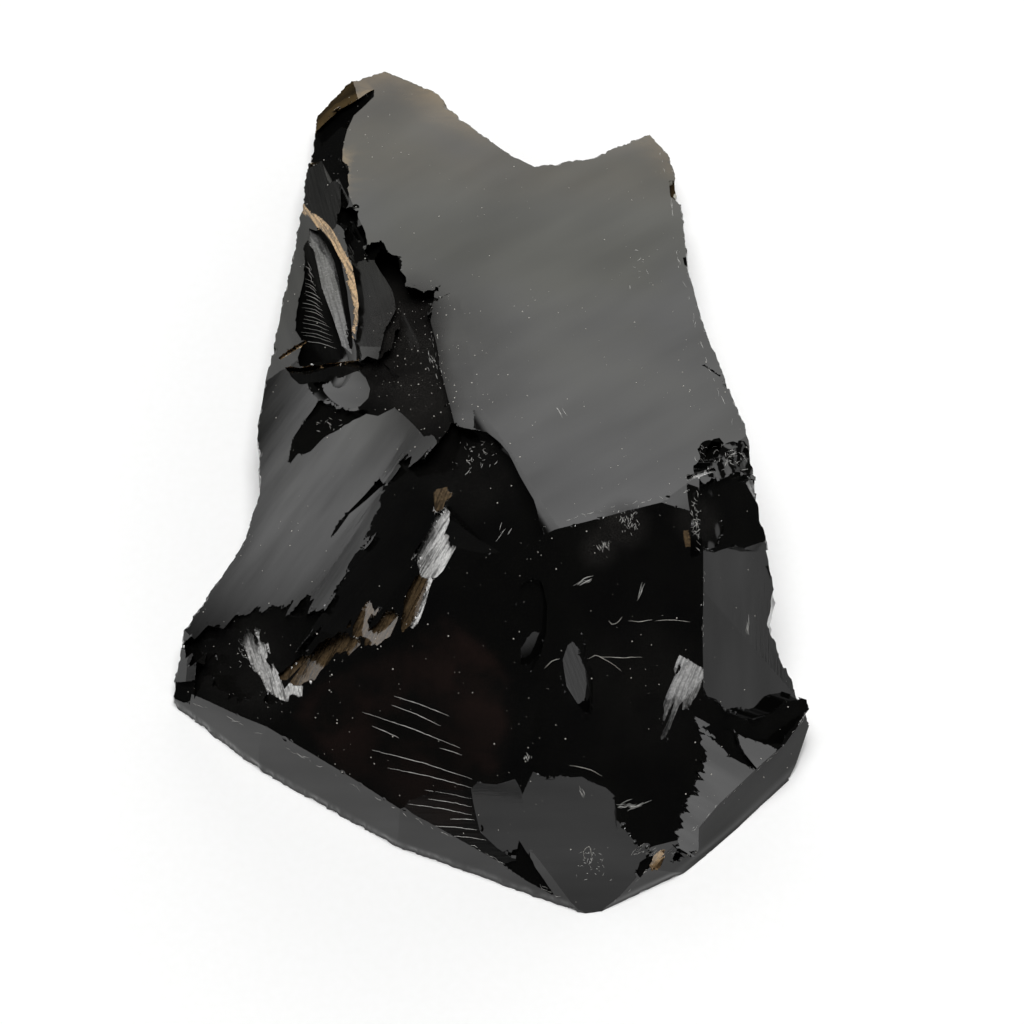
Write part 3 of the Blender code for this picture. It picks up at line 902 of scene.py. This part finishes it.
def chunk_object():
    global CHIPS
    CHIPS = ridge_chips()
    verts, quads = contour(GRAIN)
    verts, quads = one_piece(verts, quads)
    verts = np.clip(verts, CAD_LOW + CLEAR, CAD_HIGH - CLEAR)
    mesh = thinned(as_mesh("obsidian_surface", verts * MM, quads), TRIANGLES)
    verts, faces = corner_array(mesh)
    _, label = solid(verts[faces].mean(1))
    loop_points = verts[faces].reshape(-1, 3)
    way = normals(loop_points, np.repeat(label, 3))
    flat = np.cross(verts[faces[:, 1]] - verts[faces[:, 0]], verts[faces[:, 2]] - verts[faces[:, 0]])
    flat /= np.maximum(np.linalg.norm(flat, axis=1, keepdims=True), 1e-12)
    flat3 = np.repeat(flat, 3, axis=0)
    odd = (way * flat3).sum(1) < 0.6
    way[odd] = flat3[odd]
    mesh.shade_smooth()
    mesh.normals_split_custom_set([tuple(n) for n in way])

    middles = verts[faces].mean(1)
    thick = depth_below(mesh, middles, flat)
    near, count = np.zeros(len(verts)), np.zeros(len(verts))
    for side in range(3):
        np.add.at(near, faces[:, side], np.exp(-thick / SMOKE_DEPTH))
        np.add.at(count, faces[:, side], 1)
    smoky = ease(verts[:, 1], *SMOKY)
    thin = (smoky * near / np.maximum(count, 1))[faces].ravel()
    kinds = BREAKS + LOCAL
    names = [b.name for b in kinds]
    opaque = [k for k, name in enumerate(names) if name in OPAQUE]
    thin[np.repeat(np.isin(label // 2, opaque), 3)] = 0
    thin[np.repeat(label // 2 == names.index("horn_crown"), 3)] *= CROWN_SMOKE
    finishes = np.array([(*b.finish, STREAKY.get(b.name, PLAIN_STREAKY)) for b in kinds] + [(0, 0, 0)])
    grains = np.radians([GRAIN_WAY.get(b.name, b.grain) for b in kinds] + [0])
    index = np.where(label < CHIP, label // 2, len(kinds))
    walls = (label < CHIP) & (label % 2 == 1)
    finish = finishes[index]
    finish[walls, 0] *= WALL_CRUSH_GLINT
    # Per corner: the crushed colour and its painted highlight, its warmth, and how streaky the break is.
    paint(mesh, "finish", np.repeat(finish, 3, axis=0))
    u, v = in_view(loop_points)
    haze = np.zeros(len(u))
    for (a, b), reach, amount in DUSTY:
        haze = np.maximum(haze, amount * ease(-np.hypot(u - a, v - b), -reach, -reach * 0.4))
    red = ease(inside(u, v, MAHOGANY), -4, 8)
    paint(mesh, "wear", np.column_stack([thin, haze, red]))
    turn = np.repeat(grains[index], 3)
    along, across = u * np.cos(turn) + v * np.sin(turn), v * np.cos(turn) - u * np.sin(turn)
    strike = mesh.uv_layers.new(name="strike")
    strike.data.foreach_set("uv", (np.column_stack([across, along]) * PX / UV_UNIT).ravel())
    obj = bpy.data.objects.new("broken_glass", mesh)
    bpy.context.scene.collection.objects.link(obj)
    return obj


# ---- Fine things on the faces: raised lines, lint and dust ----------------------------------------
def node_group(name, sizes):
    """Empty geometry tree with one geometry input and named sizes."""
    tree = bpy.data.node_groups.new(name, "GeometryNodeTree")
    tree.interface.new_socket("Geometry", in_out="INPUT", socket_type="NodeSocketGeometry")
    for label in sizes:
        tree.interface.new_socket(label, in_out="INPUT", socket_type="NodeSocketFloat")
    tree.interface.new_socket("Geometry", in_out="OUTPUT", socket_type="NodeSocketGeometry")
    return tree, tree.nodes.new("NodeGroupInput"), tree.nodes.new("NodeGroupOutput")


def grown(name, mesh, tree, sizes, material):
    """Plain mesh object of what the tree makes from a mesh."""
    source = bpy.data.objects.new(name, mesh)
    bpy.context.scene.collection.objects.link(source)
    modifier = source.modifiers.new(name, "NODES")
    modifier.node_group = tree
    for item in tree.interface.items_tree:
        if item.in_out == "INPUT" and item.name in sizes:
            modifier[item.identifier] = sizes[item.name]
    made = bpy.data.meshes.new_from_object(source.evaluated_get(bpy.context.evaluated_depsgraph_get()))
    source.modifiers.clear()
    source.data = made
    made.materials.clear()
    made.materials.append(material)
    return source


def finish_tree(tree, geometry, end, material):
    real = add(tree, "GeometryNodeRealizeInstances", links={"Geometry": geometry})
    dressed = add(tree, "GeometryNodeSetMaterial", values={"Material": material},
                  links={"Geometry": real.outputs[0]})
    tree.links.new(dressed.outputs[0], end.inputs[0])


def threads(name, paths, width, material, seed, lift=0.0):
    """Thin raised lines over the glass; each path is a list of columns and rows and a girth."""
    rng = np.random.default_rng(seed)
    columns, rows = [], []
    for path, _ in paths:
        path = np.array(path, dtype=float)
        lengths = np.concatenate([[0], np.cumsum(np.hypot(*np.diff(path, axis=0).T))])
        spots = np.linspace(0, lengths[-1], max(3, int(lengths[-1] / 3.5)))
        u, v = np.interp(spots, lengths, path[:, 0]), np.interp(spots, lengths, path[:, 1])
        columns.append(u + rng.normal(size=len(u)) * 0.15)
        rows.append(v + rng.normal(size=len(v)) * 0.15)
    on_glass = skin(np.concatenate(columns), np.concatenate(rows))
    missed = np.abs(solid(on_glass)[0]) > 0.1
    on_glass[:, 2] = np.clip(on_glass[:, 2] + lift, 0.2, CAD_HIGH[2] - 0.15)
    points, edges, girths = [], [], []
    done = 0
    for (_, girth), column in zip(paths, columns):
        line = on_glass[done:done + len(column)]
        off = missed[done:done + len(column)].any()
        done += len(column)
        if off:
            continue
        start = len(points)
        points.extend(line)
        edges.extend((start + k, start + k + 1) for k in range(len(line) - 1))
        taper = np.sin(np.linspace(0.12, math.pi - 0.12, len(line))) ** 0.6
        girths.extend(girth * taper * rng.uniform(0.6, 1.2, len(line)))
    mesh = bpy.data.meshes.new(name)
    mesh.from_pydata([tuple(p * MM) for p in points], edges, [])
    mesh.attributes.new("girth", "FLOAT", "POINT").data.foreach_set("value", girths)
    tree, start, end = node_group(name, ["Width"])
    curve = add(tree, "GeometryNodeMeshToCurve", links={"Mesh": start.outputs["Geometry"]})
    girth = add(tree, "GeometryNodeInputNamedAttribute", {"data_type": "FLOAT"}, {"Name": "girth"})
    sized = add(tree, "GeometryNodeSetCurveRadius", links={"Curve": curve.outputs[0],
                                                           "Radius": girth.outputs["Attribute"]})
    ring = add(tree, "GeometryNodeCurvePrimitiveCircle", {"mode": "RADIUS"}, {"Resolution": 5},
               {"Radius": start.outputs["Width"]})
    values, links = {"Fill Caps": True}, {"Curve": sized.outputs[0], "Profile Curve": ring.outputs[0]}
    tube = add(tree, "GeometryNodeCurveToMesh", values=values, links=links)
    if "Scale" in tube.inputs:
        tree.links.new(girth.outputs["Attribute"], tube.inputs["Scale"])
    finish_tree(tree, tube.outputs[0], end, material)
    return grown(name, mesh, tree, {"Width": width * MM}, material)


def dust(glass, material, count=2600, seed=5):
    """Dust specks: tiny rounded grains over the upper faces, thicker in the dusty patches."""
    mesh = glass.data.copy()
    verts, _ = corner_array(mesh)
    u, v = in_view(verts)
    cover = 0.25 + 0.75 * np.clip(swell(verts, 61, 14.0) * 2, 0, 1)
    for (a, b), reach, amount in DUSTY:
        cover += 2.5 * amount * ease(-np.hypot(u - a, v - b), -reach, -reach * 0.2)
    low, high = CAD_LOW + 0.3, CAD_HIGH - 0.3
    cover *= ((verts > low) & (verts < high)).all(axis=1)
    ways = np.empty(len(verts) * 3, dtype=np.float32)
    mesh.vertex_normals.foreach_get("vector", ways)
    cover *= ease(ways.reshape(-1, 3)[:, 2], 0.25, 0.6)
    mesh.attributes.new("cover", "FLOAT", "POINT").data.foreach_set("value", cover)
    tree, start, end = node_group("dust", ["Density", "Size"])
    cover = add(tree, "GeometryNodeInputNamedAttribute", {"data_type": "FLOAT"}, {"Name": "cover"})
    thick = add(tree, "ShaderNodeMath", {"operation": "MULTIPLY"},
                links={0: cover.outputs["Attribute"], 1: start.outputs["Density"]})
    spots = add(tree, "GeometryNodeDistributePointsOnFaces", {"distribute_method": "RANDOM"},
                {"Seed": seed}, {"Mesh": start.outputs["Geometry"], "Density": thick.outputs[0]})
    grain = add(tree, "GeometryNodeMeshIcoSphere", values={"Subdivisions": 1},
                links={"Radius": start.outputs["Size"]})
    spread = add(tree, "FunctionNodeRandomValue", {"data_type": "FLOAT"},
                 {"Min": 0.0, "Max": 1.0, "Seed": seed})
    uneven = add(tree, "ShaderNodeMath", {"operation": "POWER"}, {1: 2.6}, {0: spread.outputs["Value"]})
    sizes = add(tree, "ShaderNodeMath", {"operation": "ADD"}, {1: 0.35}, {0: uneven.outputs[0]})
    turn = add(tree, "FunctionNodeRandomValue", {"data_type": "FLOAT_VECTOR"},
               {"Min": (0, 0, 0), "Max": (6.28, 6.28, 6.28), "Seed": seed + 1})
    placed = add(tree, "GeometryNodeInstanceOnPoints", links={
        "Points": spots.outputs["Points"], "Instance": grain.outputs["Mesh"],
        "Rotation": turn.outputs["Value"], "Scale": sizes.outputs[0]})
    finish_tree(tree, placed.outputs[0], end, material)
    area = sum(p.area for p in mesh.polygons)
    return grown("dust_specks", mesh, tree, {"Density": count / area, "Size": 0.085 * MM}, material)


# Fine ribs that the break left on the dark front face: two ends each, from left to right.
RIBS = [((394, 696), (449, 716)), ((392, 705), (441, 726)), ((362, 712), (460, 748)),
        ((372, 726), (399, 738)), ((440, 748), (462, 755)), ((372, 750), (472, 779)),
        ((388, 768), (472, 788)), ((425, 790), (472, 799)), ((428, 799), (472, 807)),
        ((408, 804), (472, 815)), ((450, 819), (475, 820)), ((435, 826), (477, 830)),
        ((450, 836), (487, 840))]
# Scratches and nicks: middle of a group, its two half sizes, the way the strokes run and how much
# that varies (degrees), their length and their number; all in the camera's frame.
SCRATCHES = [((586, 581), (12, 3), -30, 6, 15, 6), ((640, 590), (2, 4), -75, 5, 15, 3),
             ((629, 806), (20, 4), -22, 14, 12, 16), ((505, 530), (7, 8), -60, 15, 11, 4),
             ((630, 520), (13, 15), 80, 45, 4, 44), ((604, 545), (9, 6), 80, 40, 5, 18),
             ((526, 757), (7, 4), 90, 25, 5, 10), ((583, 792), (3, 6), 70, 20, 6, 7),
             ((748, 628), (2, 12), 85, 8, 13, 4), ((645, 850), (16, 6), -35, 30, 6, 18),
             ((696, 520), (6, 36), 30, 80, 7, 34), ((730, 458), (20, 16), 0, 90, 7, 34),
             ((475, 455), (26, 24), -40, 70, 4, 34), ((245, 655), (14, 16), 30, 50, 5, 18),
             ((434, 350), (10, 40), 75, 20, 5, 20), ((592, 862), (20, 22), 0, 90, 3, 40),
             ((700, 450), (8, 12), 60, 40, 6, 8), ((560, 410), (12, 8), 55, 10, 9, 5),
             ((330, 424), (16, 8), 0, 90, 4, 14), ((640, 270), (22, 30), 20, 60, 4, 10)]
# Worn edges: lines along which the glass is nicked.
WORN = [[(183, 702), (217, 710), (260, 735), (300, 755), (347, 782), (392, 807), (440, 832), (480, 850),
         (520, 875), (560, 897)],
        [(605, 908), (625, 895), (640, 876), (680, 843), (720, 804), (757, 769), (785, 745), (806, 714)],
        [(540, 527), (580, 516), (620, 506), (660, 498), (690, 490)], [(703, 560), (703, 620), (703, 690)],
        [(660, 150), (671, 200), (678, 260), (696, 330), (712, 375), (735, 430)],
        [(300, 225), (286, 290), (270, 350), (262, 400), (256, 450), (262, 490), (230, 545), (190, 610)]]
# Lint fibres, each a line in the camera's frame.
LINT = [[(545, 668), (552, 661), (560, 659)], [(588, 659), (596, 655), (604, 659), (614, 665), (621, 671)],
        [(570, 766), (580, 767), (591, 770), (602, 776)], [(609, 621), (612, 625), (618, 623), (622, 617)],
        [(628, 621), (640, 622), (652, 620)], [(655, 621), (672, 620), (690, 622)],
        [(600, 657), (622, 658), (642, 657)], [(585, 860), (583, 850), (590, 846), (592, 858)]]


def strokes(seed=12):
    """Short uneven strokes: scattered over each group, and strung along the worn edges."""
    rng = np.random.default_rng(seed)
    lines = []

    def stroke(middle, angle, length, girth):
        half = np.array([math.cos(angle), math.sin(angle)]) * length / 2
        bow = rng.normal(size=2) * 0.08 * length
        lines.append(([middle - half, middle + bow, middle + half], girth))
    for middle, size, way, vary, length, count in SCRATCHES:
        for _ in range(count):
            spot = np.array(middle) + rng.uniform(-1, 1, 2) * rng.uniform(0.3, 1.0) * np.array(size)
            angle = math.radians(way + rng.normal() * vary * 0.6)
            stroke(spot, angle, length * rng.uniform(0.35, 1.3), rng.uniform(0.3, 0.75))
    for line in WORN:
        for a, b in zip(np.array(line, dtype=float), np.array(line[1:], dtype=float)):
            reach, angle = np.hypot(*(b - a)), math.atan2(b[1] - a[1], b[0] - a[0])
            for _ in range(int(reach / 9)):
                spot = a + (b - a) * rng.random() + rng.normal(size=2) * 0.6
                stroke(spot, angle + rng.normal() * 0.25, rng.uniform(2, 9), rng.uniform(0.25, 0.6))
    return lines


def gouge_ribs(seed=16):
    """Curved ribs across the bed of the gouge."""
    rng = np.random.default_rng(seed)
    lines = []
    for k in range(20):
        v = 262 + 4.1 * k + rng.uniform(-0.8, 0.8)
        left, right = 306 - 0.09 * (v - 262), 312 + 0.32 * (v - 262)
        path = [(left + rng.uniform(0, 4), v), ((left + right) / 2, v + 2),
                (right - rng.uniform(0, 4), v + 8)]
        lines.append((path, rng.uniform(0.4, 0.8)))
    return lines


def ribs():
    return [([a, ((a[0] + b[0]) / 2, (a[1] + b[1]) / 2 - 0.02 * (b[0] - a[0])), b], 1.0) for a, b in RIBS]


# ---- Materials -----------------------------------------------------------------------------------
def linear(hex_colour):
    """sRGB hex to linear RGBA."""
    out = []
    for i in (1, 3, 5):
        c = int(hex_colour[i:i + 2], 16) / 255
        out.append(c / 12.92 if c <= 0.04045 else ((c + 0.055) / 1.055) ** 2.4)
    return (*out, 1.0)


def add(tree, kind, settings=None, values=None, links=None):
    """One node with its settings, socket values and links to its inputs."""
    node = tree.nodes.new(kind)
    for key, value in (settings or {}).items():
        setattr(node, key, value)
    for key, value in (values or {}).items():
        node.inputs[key].default_value = value
    for key, source in (links or {}).items():
        tree.links.new(source, node.inputs[key])
    return node


def mix(tree, factor, a, b):
    """One colour blended into another."""
    node = add(tree, "ShaderNodeMix", {"data_type": "RGBA"})
    for slot, value in ((0, factor), (6, a), (7, b)):
        if isinstance(value, (float, tuple)):
            node.inputs[slot].default_value = value
        else:
            tree.links.new(value, node.inputs[slot])
    return node.outputs[2]


def maths(tree, operation, a, b=0.0, clamp=True):
    node = add(tree, "ShaderNodeMath", {"operation": operation, "use_clamp": clamp})
    for slot, value in enumerate((a, b)):
        if isinstance(value, (int, float)):
            node.inputs[slot].default_value = value
        else:
            tree.links.new(value, node.inputs[slot])
    return node.outputs[0]


def channels(tree, name):
    """The three channels of a corner attribute."""
    colour = add(tree, "ShaderNodeAttribute", {"attribute_name": name}).outputs["Color"]
    return add(tree, "ShaderNodeSeparateColor", links={"Color": colour}).outputs


def shaded(name):
    """New material with its node tree and shader."""
    material = bpy.data.materials.new(name)
    material.use_nodes = True
    return material, material.node_tree, material.node_tree.nodes["Principled BSDF"]


def obsidian():
    """Volcanic glass, freshly broken: black and mirror-smooth, smoky brown where it is thin,
    with a dim red-brown zone, dust in its hollows, and white or tan where it is crushed. The same white and
    tan also paint highlights where the glass glints."""
    material, tree, shader = shaded("obsidian volcanic glass")
    shader.inputs["IOR"].default_value = 1.5
    place = add(tree, "ShaderNodeTexCoord").outputs["Object"]
    strike = add(tree, "ShaderNodeUVMap", {"uv_map": "strike"}).outputs["UV"]
    crush_glint_share, warmth, streaky = channels(tree, "finish")
    thin, dusty, red = channels(tree, "wear")

    def cloudy(scale, detail, vector=place, rough=0.55):
        return add(tree, "ShaderNodeTexNoise", values={"Scale": scale, "Detail": detail, "Roughness": rough},
                   links={"Vector": vector}).outputs["Fac"]

    def between(value, low, high):
        return add(tree, "ShaderNodeMapRange", {"clamp": True}, {"From Min": low, "From Max": high},
                   {"Value": value}).outputs["Result"]

    def along_grain(across, along):
        return add(tree, "ShaderNodeMapping", {"vector_type": "POINT"}, {"Scale": (across, along, 1.0)},
                   {"Vector": strike}).outputs["Vector"]
    film = cloudy(28.0, 3.0)                  # slow changes over centimetres
    cloud = cloudy(160.0, 5.0)
    speckle = cloudy(2600.0, 2.0)
    streak = cloudy(1.0, 3.0, along_grain(30.0, 2.4), 0.6)
    flow = cloudy(1.0, 2.0, along_grain(1.3, 0.35))
    sweep = cloudy(1.0, 2.0, along_grain(4.5, 0.6))

    black = mix(tree, between(cloud, 0.35, 0.7), linear("#050505"), linear("#080807"))
    mahogany = mix(tree, between(cloud, 0.4, 0.62), linear("#0a0908"), linear("#17100e"))
    colour = mix(tree, maths(tree, "MULTIPLY", red, between(film, 0.3, 0.5)), black, mahogany)
    smoke = mix(tree, between(cloud, 0.3, 0.7), linear("#4f3f25"), linear("#6a583a"))
    colour = mix(tree, maths(tree, "MULTIPLY", thin, 1.3), colour, smoke)
    grit = maths(tree, "MULTIPLY", between(cloudy(6000.0, 3.0), 0.36, 0.7), between(cloud, 0.2, 0.6))
    dust = maths(tree, "MULTIPLY", dusty, maths(tree, "ADD", maths(tree, "MULTIPLY", grit, 0.8), 0.2))
    colour = mix(tree, maths(tree, "MULTIPLY", dust, 0.6), colour, linear("#373533"))
    # White and tan of crushed glass, which also serve as painted highlights where the glass glints.
    crush_glint_colour = mix(tree, warmth, linear("#f2f1ef"), linear("#c8a77c"))
    crush_glint_colour = mix(tree, between(speckle, 0.35, 0.65), mix(tree, 0.45, crush_glint_colour, black), crush_glint_colour)
    splinters = between(streak, 0.4, 0.54)
    splinters = maths(tree, "ADD", splinters, between(speckle, 0.6, 0.8))
    splinters = maths(tree, "ADD", maths(tree, "MULTIPLY", splinters, 0.65), 0.35)
    crush_glint_mask = maths(tree, "MULTIPLY", splinters, crush_glint_share)
    colour = mix(tree, crush_glint_mask, colour, crush_glint_colour)
    tree.links.new(colour, shader.inputs["Base Color"])

    lines = maths(tree, "ADD", between(sweep, 0.35, 0.7), maths(tree, "MULTIPLY", streak, 0.4))
    lines = maths(tree, "MULTIPLY", streaky, lines)
    rough = maths(tree, "ADD", maths(tree, "MULTIPLY", cloud, 0.07), maths(tree, "MULTIPLY", lines, 0.16))
    rough = maths(tree, "ADD", rough, maths(tree, "MULTIPLY", dust, 0.25))
    rough = maths(tree, "ADD", rough, maths(tree, "MULTIPLY", crush_glint_mask, 0.35))
    tree.links.new(rough, shader.inputs["Roughness"])
    shine = maths(tree, "SUBTRACT", maths(tree, "ADD", between(flow, 0.3, 0.7), 2.3, False),
                  maths(tree, "MULTIPLY", lines, 1.2), False)
    shine = maths(tree, "MULTIPLY", shine, maths(tree, "SUBTRACT", 1.0, maths(tree, "MULTIPLY", dusty, 0.75)),
                  False)
    tree.links.new(maths(tree, "MULTIPLY", shine, 0.18), shader.inputs["Specular IOR Level"])
    back = between(add(tree, "ShaderNodeSeparateXYZ", links={"Vector": place}).outputs["Y"], -0.02, 0.02)
    tint = maths(tree, "MULTIPLY", back, between(film, 0.35, 0.6))
    tint = mix(tree, tint, linear("#ffffff"), linear("#fdfdee"))
    tree.links.new(tint, shader.inputs["Specular Tint"])

    height = maths(tree, "ADD", maths(tree, "MULTIPLY", streak, maths(tree, "MULTIPLY", streaky, 0.2)),
                   maths(tree, "MULTIPLY", speckle, crush_glint_share))
    bump = add(tree, "ShaderNodeBump", values={"Distance": 0.00006, "Strength": 1.0},
               links={"Height": height})
    tree.links.new(bump.outputs["Normal"], shader.inputs["Normal"])
    return material


def dull(name, dark, light, scale):
    """Matt specks and splinters: two tones in fine clouds."""
    material, tree, shader = shaded(name)
    cloud = add(tree, "ShaderNodeTexNoise", values={"Scale": scale, "Detail": 3.0}, links={
        "Vector": add(tree, "ShaderNodeTexCoord").outputs["Object"]}).outputs["Fac"]
    tree.links.new(mix(tree, cloud, linear(dark), linear(light)), shader.inputs["Base Color"])
    shader.inputs["Roughness"].default_value = 0.6
    bump = add(tree, "ShaderNodeBump", values={"Distance": 0.00002, "Strength": 0.6},
               links={"Height": cloud})
    tree.links.new(bump.outputs["Normal"], shader.inputs["Normal"])
    return material


def paper():
    """Matt white background paper."""
    material, tree, shader = shaded("matt white paper")
    fibre = add(tree, "ShaderNodeTexNoise", values={"Scale": 900.0, "Detail": 4.0}, links={
        "Vector": add(tree, "ShaderNodeTexCoord").outputs["Object"]}).outputs["Fac"]
    ramp = add(tree, "ShaderNodeMix", {"data_type": "RGBA"}, links={0: fibre})
    ramp.inputs[6].default_value, ramp.inputs[7].default_value = linear("#f4f4f3"), linear("#f8f8f8")
    tree.links.new(ramp.outputs[2], shader.inputs["Base Color"])
    shader.inputs["Roughness"].default_value = 0.9
    return material


# ---- Studio --------------------------------------------------------------------------------------
def studio():
    size, drop = 6.0, 0.00005
    floor_mesh = bpy.data.meshes.new("paper_floor")
    floor_mesh.from_pydata([(x * size, y * size, -drop) for x, y in ((-1, -1), (1, -1), (1, 1), (-1, 1))],
                           [], [(0, 1, 2, 3)])
    floor = bpy.data.objects.new("paper_floor", floor_mesh)
    bpy.context.scene.collection.objects.link(floor)
    floor_mesh.materials.append(paper())

    lamp = bpy.data.lights.new("overhead_softbox", "AREA")
    lamp.shape = "DISK"
    height, half_angle, radiance = 1.2, 16.0, 12.0
    lamp.size = 2 * height * math.tan(math.radians(half_angle))
    lamp.energy = radiance * math.pi * math.pi * (lamp.size / 2) ** 2
    box = bpy.data.objects.new("overhead_softbox", lamp)
    box.location = (0, 0, height)
    bpy.context.scene.collection.objects.link(box)

    world = bpy.data.worlds.new("studio_room")
    bpy.context.scene.world = world
    world.use_nodes = True
    tree = world.node_tree
    tree.nodes.clear()
    way = add(tree, "ShaderNodeTexCoord").outputs["Generated"]
    axes = add(tree, "ShaderNodeSeparateXYZ", links={"Vector": way}).outputs

    def plain(operation, a, b=0.0):
        return maths(tree, operation, a, b, False)
    azimuth = plain("MULTIPLY", plain("ARCTAN2", axes["X"], axes["Y"]), 180 / math.pi)
    elevation = plain("MULTIPLY", plain("ARCSINE", axes["Z"]), 180 / math.pi)

    def rise(value, low, high):
        return add(tree, "ShaderNodeMapRange", {"interpolation_type": "SMOOTHSTEP"},
                   {"From Min": low, "From Max": high}, {"Value": value}).outputs["Result"]

    total = ROOM_DARK
    for start, end, top, strength, (a, b, c), foot in CARDS.values():
        side = plain("MULTIPLY", rise(azimuth, start - a, start + a),
                     plain("SUBTRACT", 1.0, rise(azimuth, end - b, end + b)))
        height = plain("SUBTRACT", 1.0, rise(elevation, top - c, top + c))
        dim = plain("ADD", plain("MULTIPLY", rise(elevation, -3.0, 14.0), 1.0 - foot), foot)
        card = plain("MULTIPLY", plain("MULTIPLY", side, height), plain("MULTIPLY", dim, strength))
        total = plain("ADD", card, total)
    back = add(tree, "ShaderNodeBackground", links={"Strength": total})
    add(tree, "ShaderNodeOutputWorld", links={"Surface": back.outputs[0]})


def camera():
    data = bpy.data.cameras.new("studio_camera")
    data.lens, data.sensor_width = LENS, SENSOR
    data.clip_start, data.clip_end = 0.01, 20
    obj = bpy.data.objects.new("studio_camera", data)
    obj.location = CAMERA * MM
    obj.rotation_euler = (math.radians(90) - ELEVATION, 0, 0)
    bpy.context.scene.collection.objects.link(obj)
    bpy.context.scene.camera = obj
    bpy.context.scene.view_settings.view_transform = "Standard"


glass = chunk_object()
glass.data.materials.clear()
glass.data.materials.append(obsidian())
fresh = dull("crushed glass splinters", "#82817e", "#c4c3bf", 2500.0)
fluff = dull("pale dust and lint", "#8d8a84", "#cfccc4", 1500.0)
rib_lines = threads("hackle_ribs", ribs() + gouge_ribs(), 0.048, fresh, 81)
scratches = threads("scratches", strokes(), 0.07, fresh, 82)
lint = threads("lint_fibres", [(path, 0.5) for path in LINT], 0.06, fluff, 83, 0.05)
specks = dust(glass, fluff)
studio()
camera()

for piece in (glass, rib_lines, scratches, lint, specks):
    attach(piece, "root")
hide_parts("obsidian_chunk")
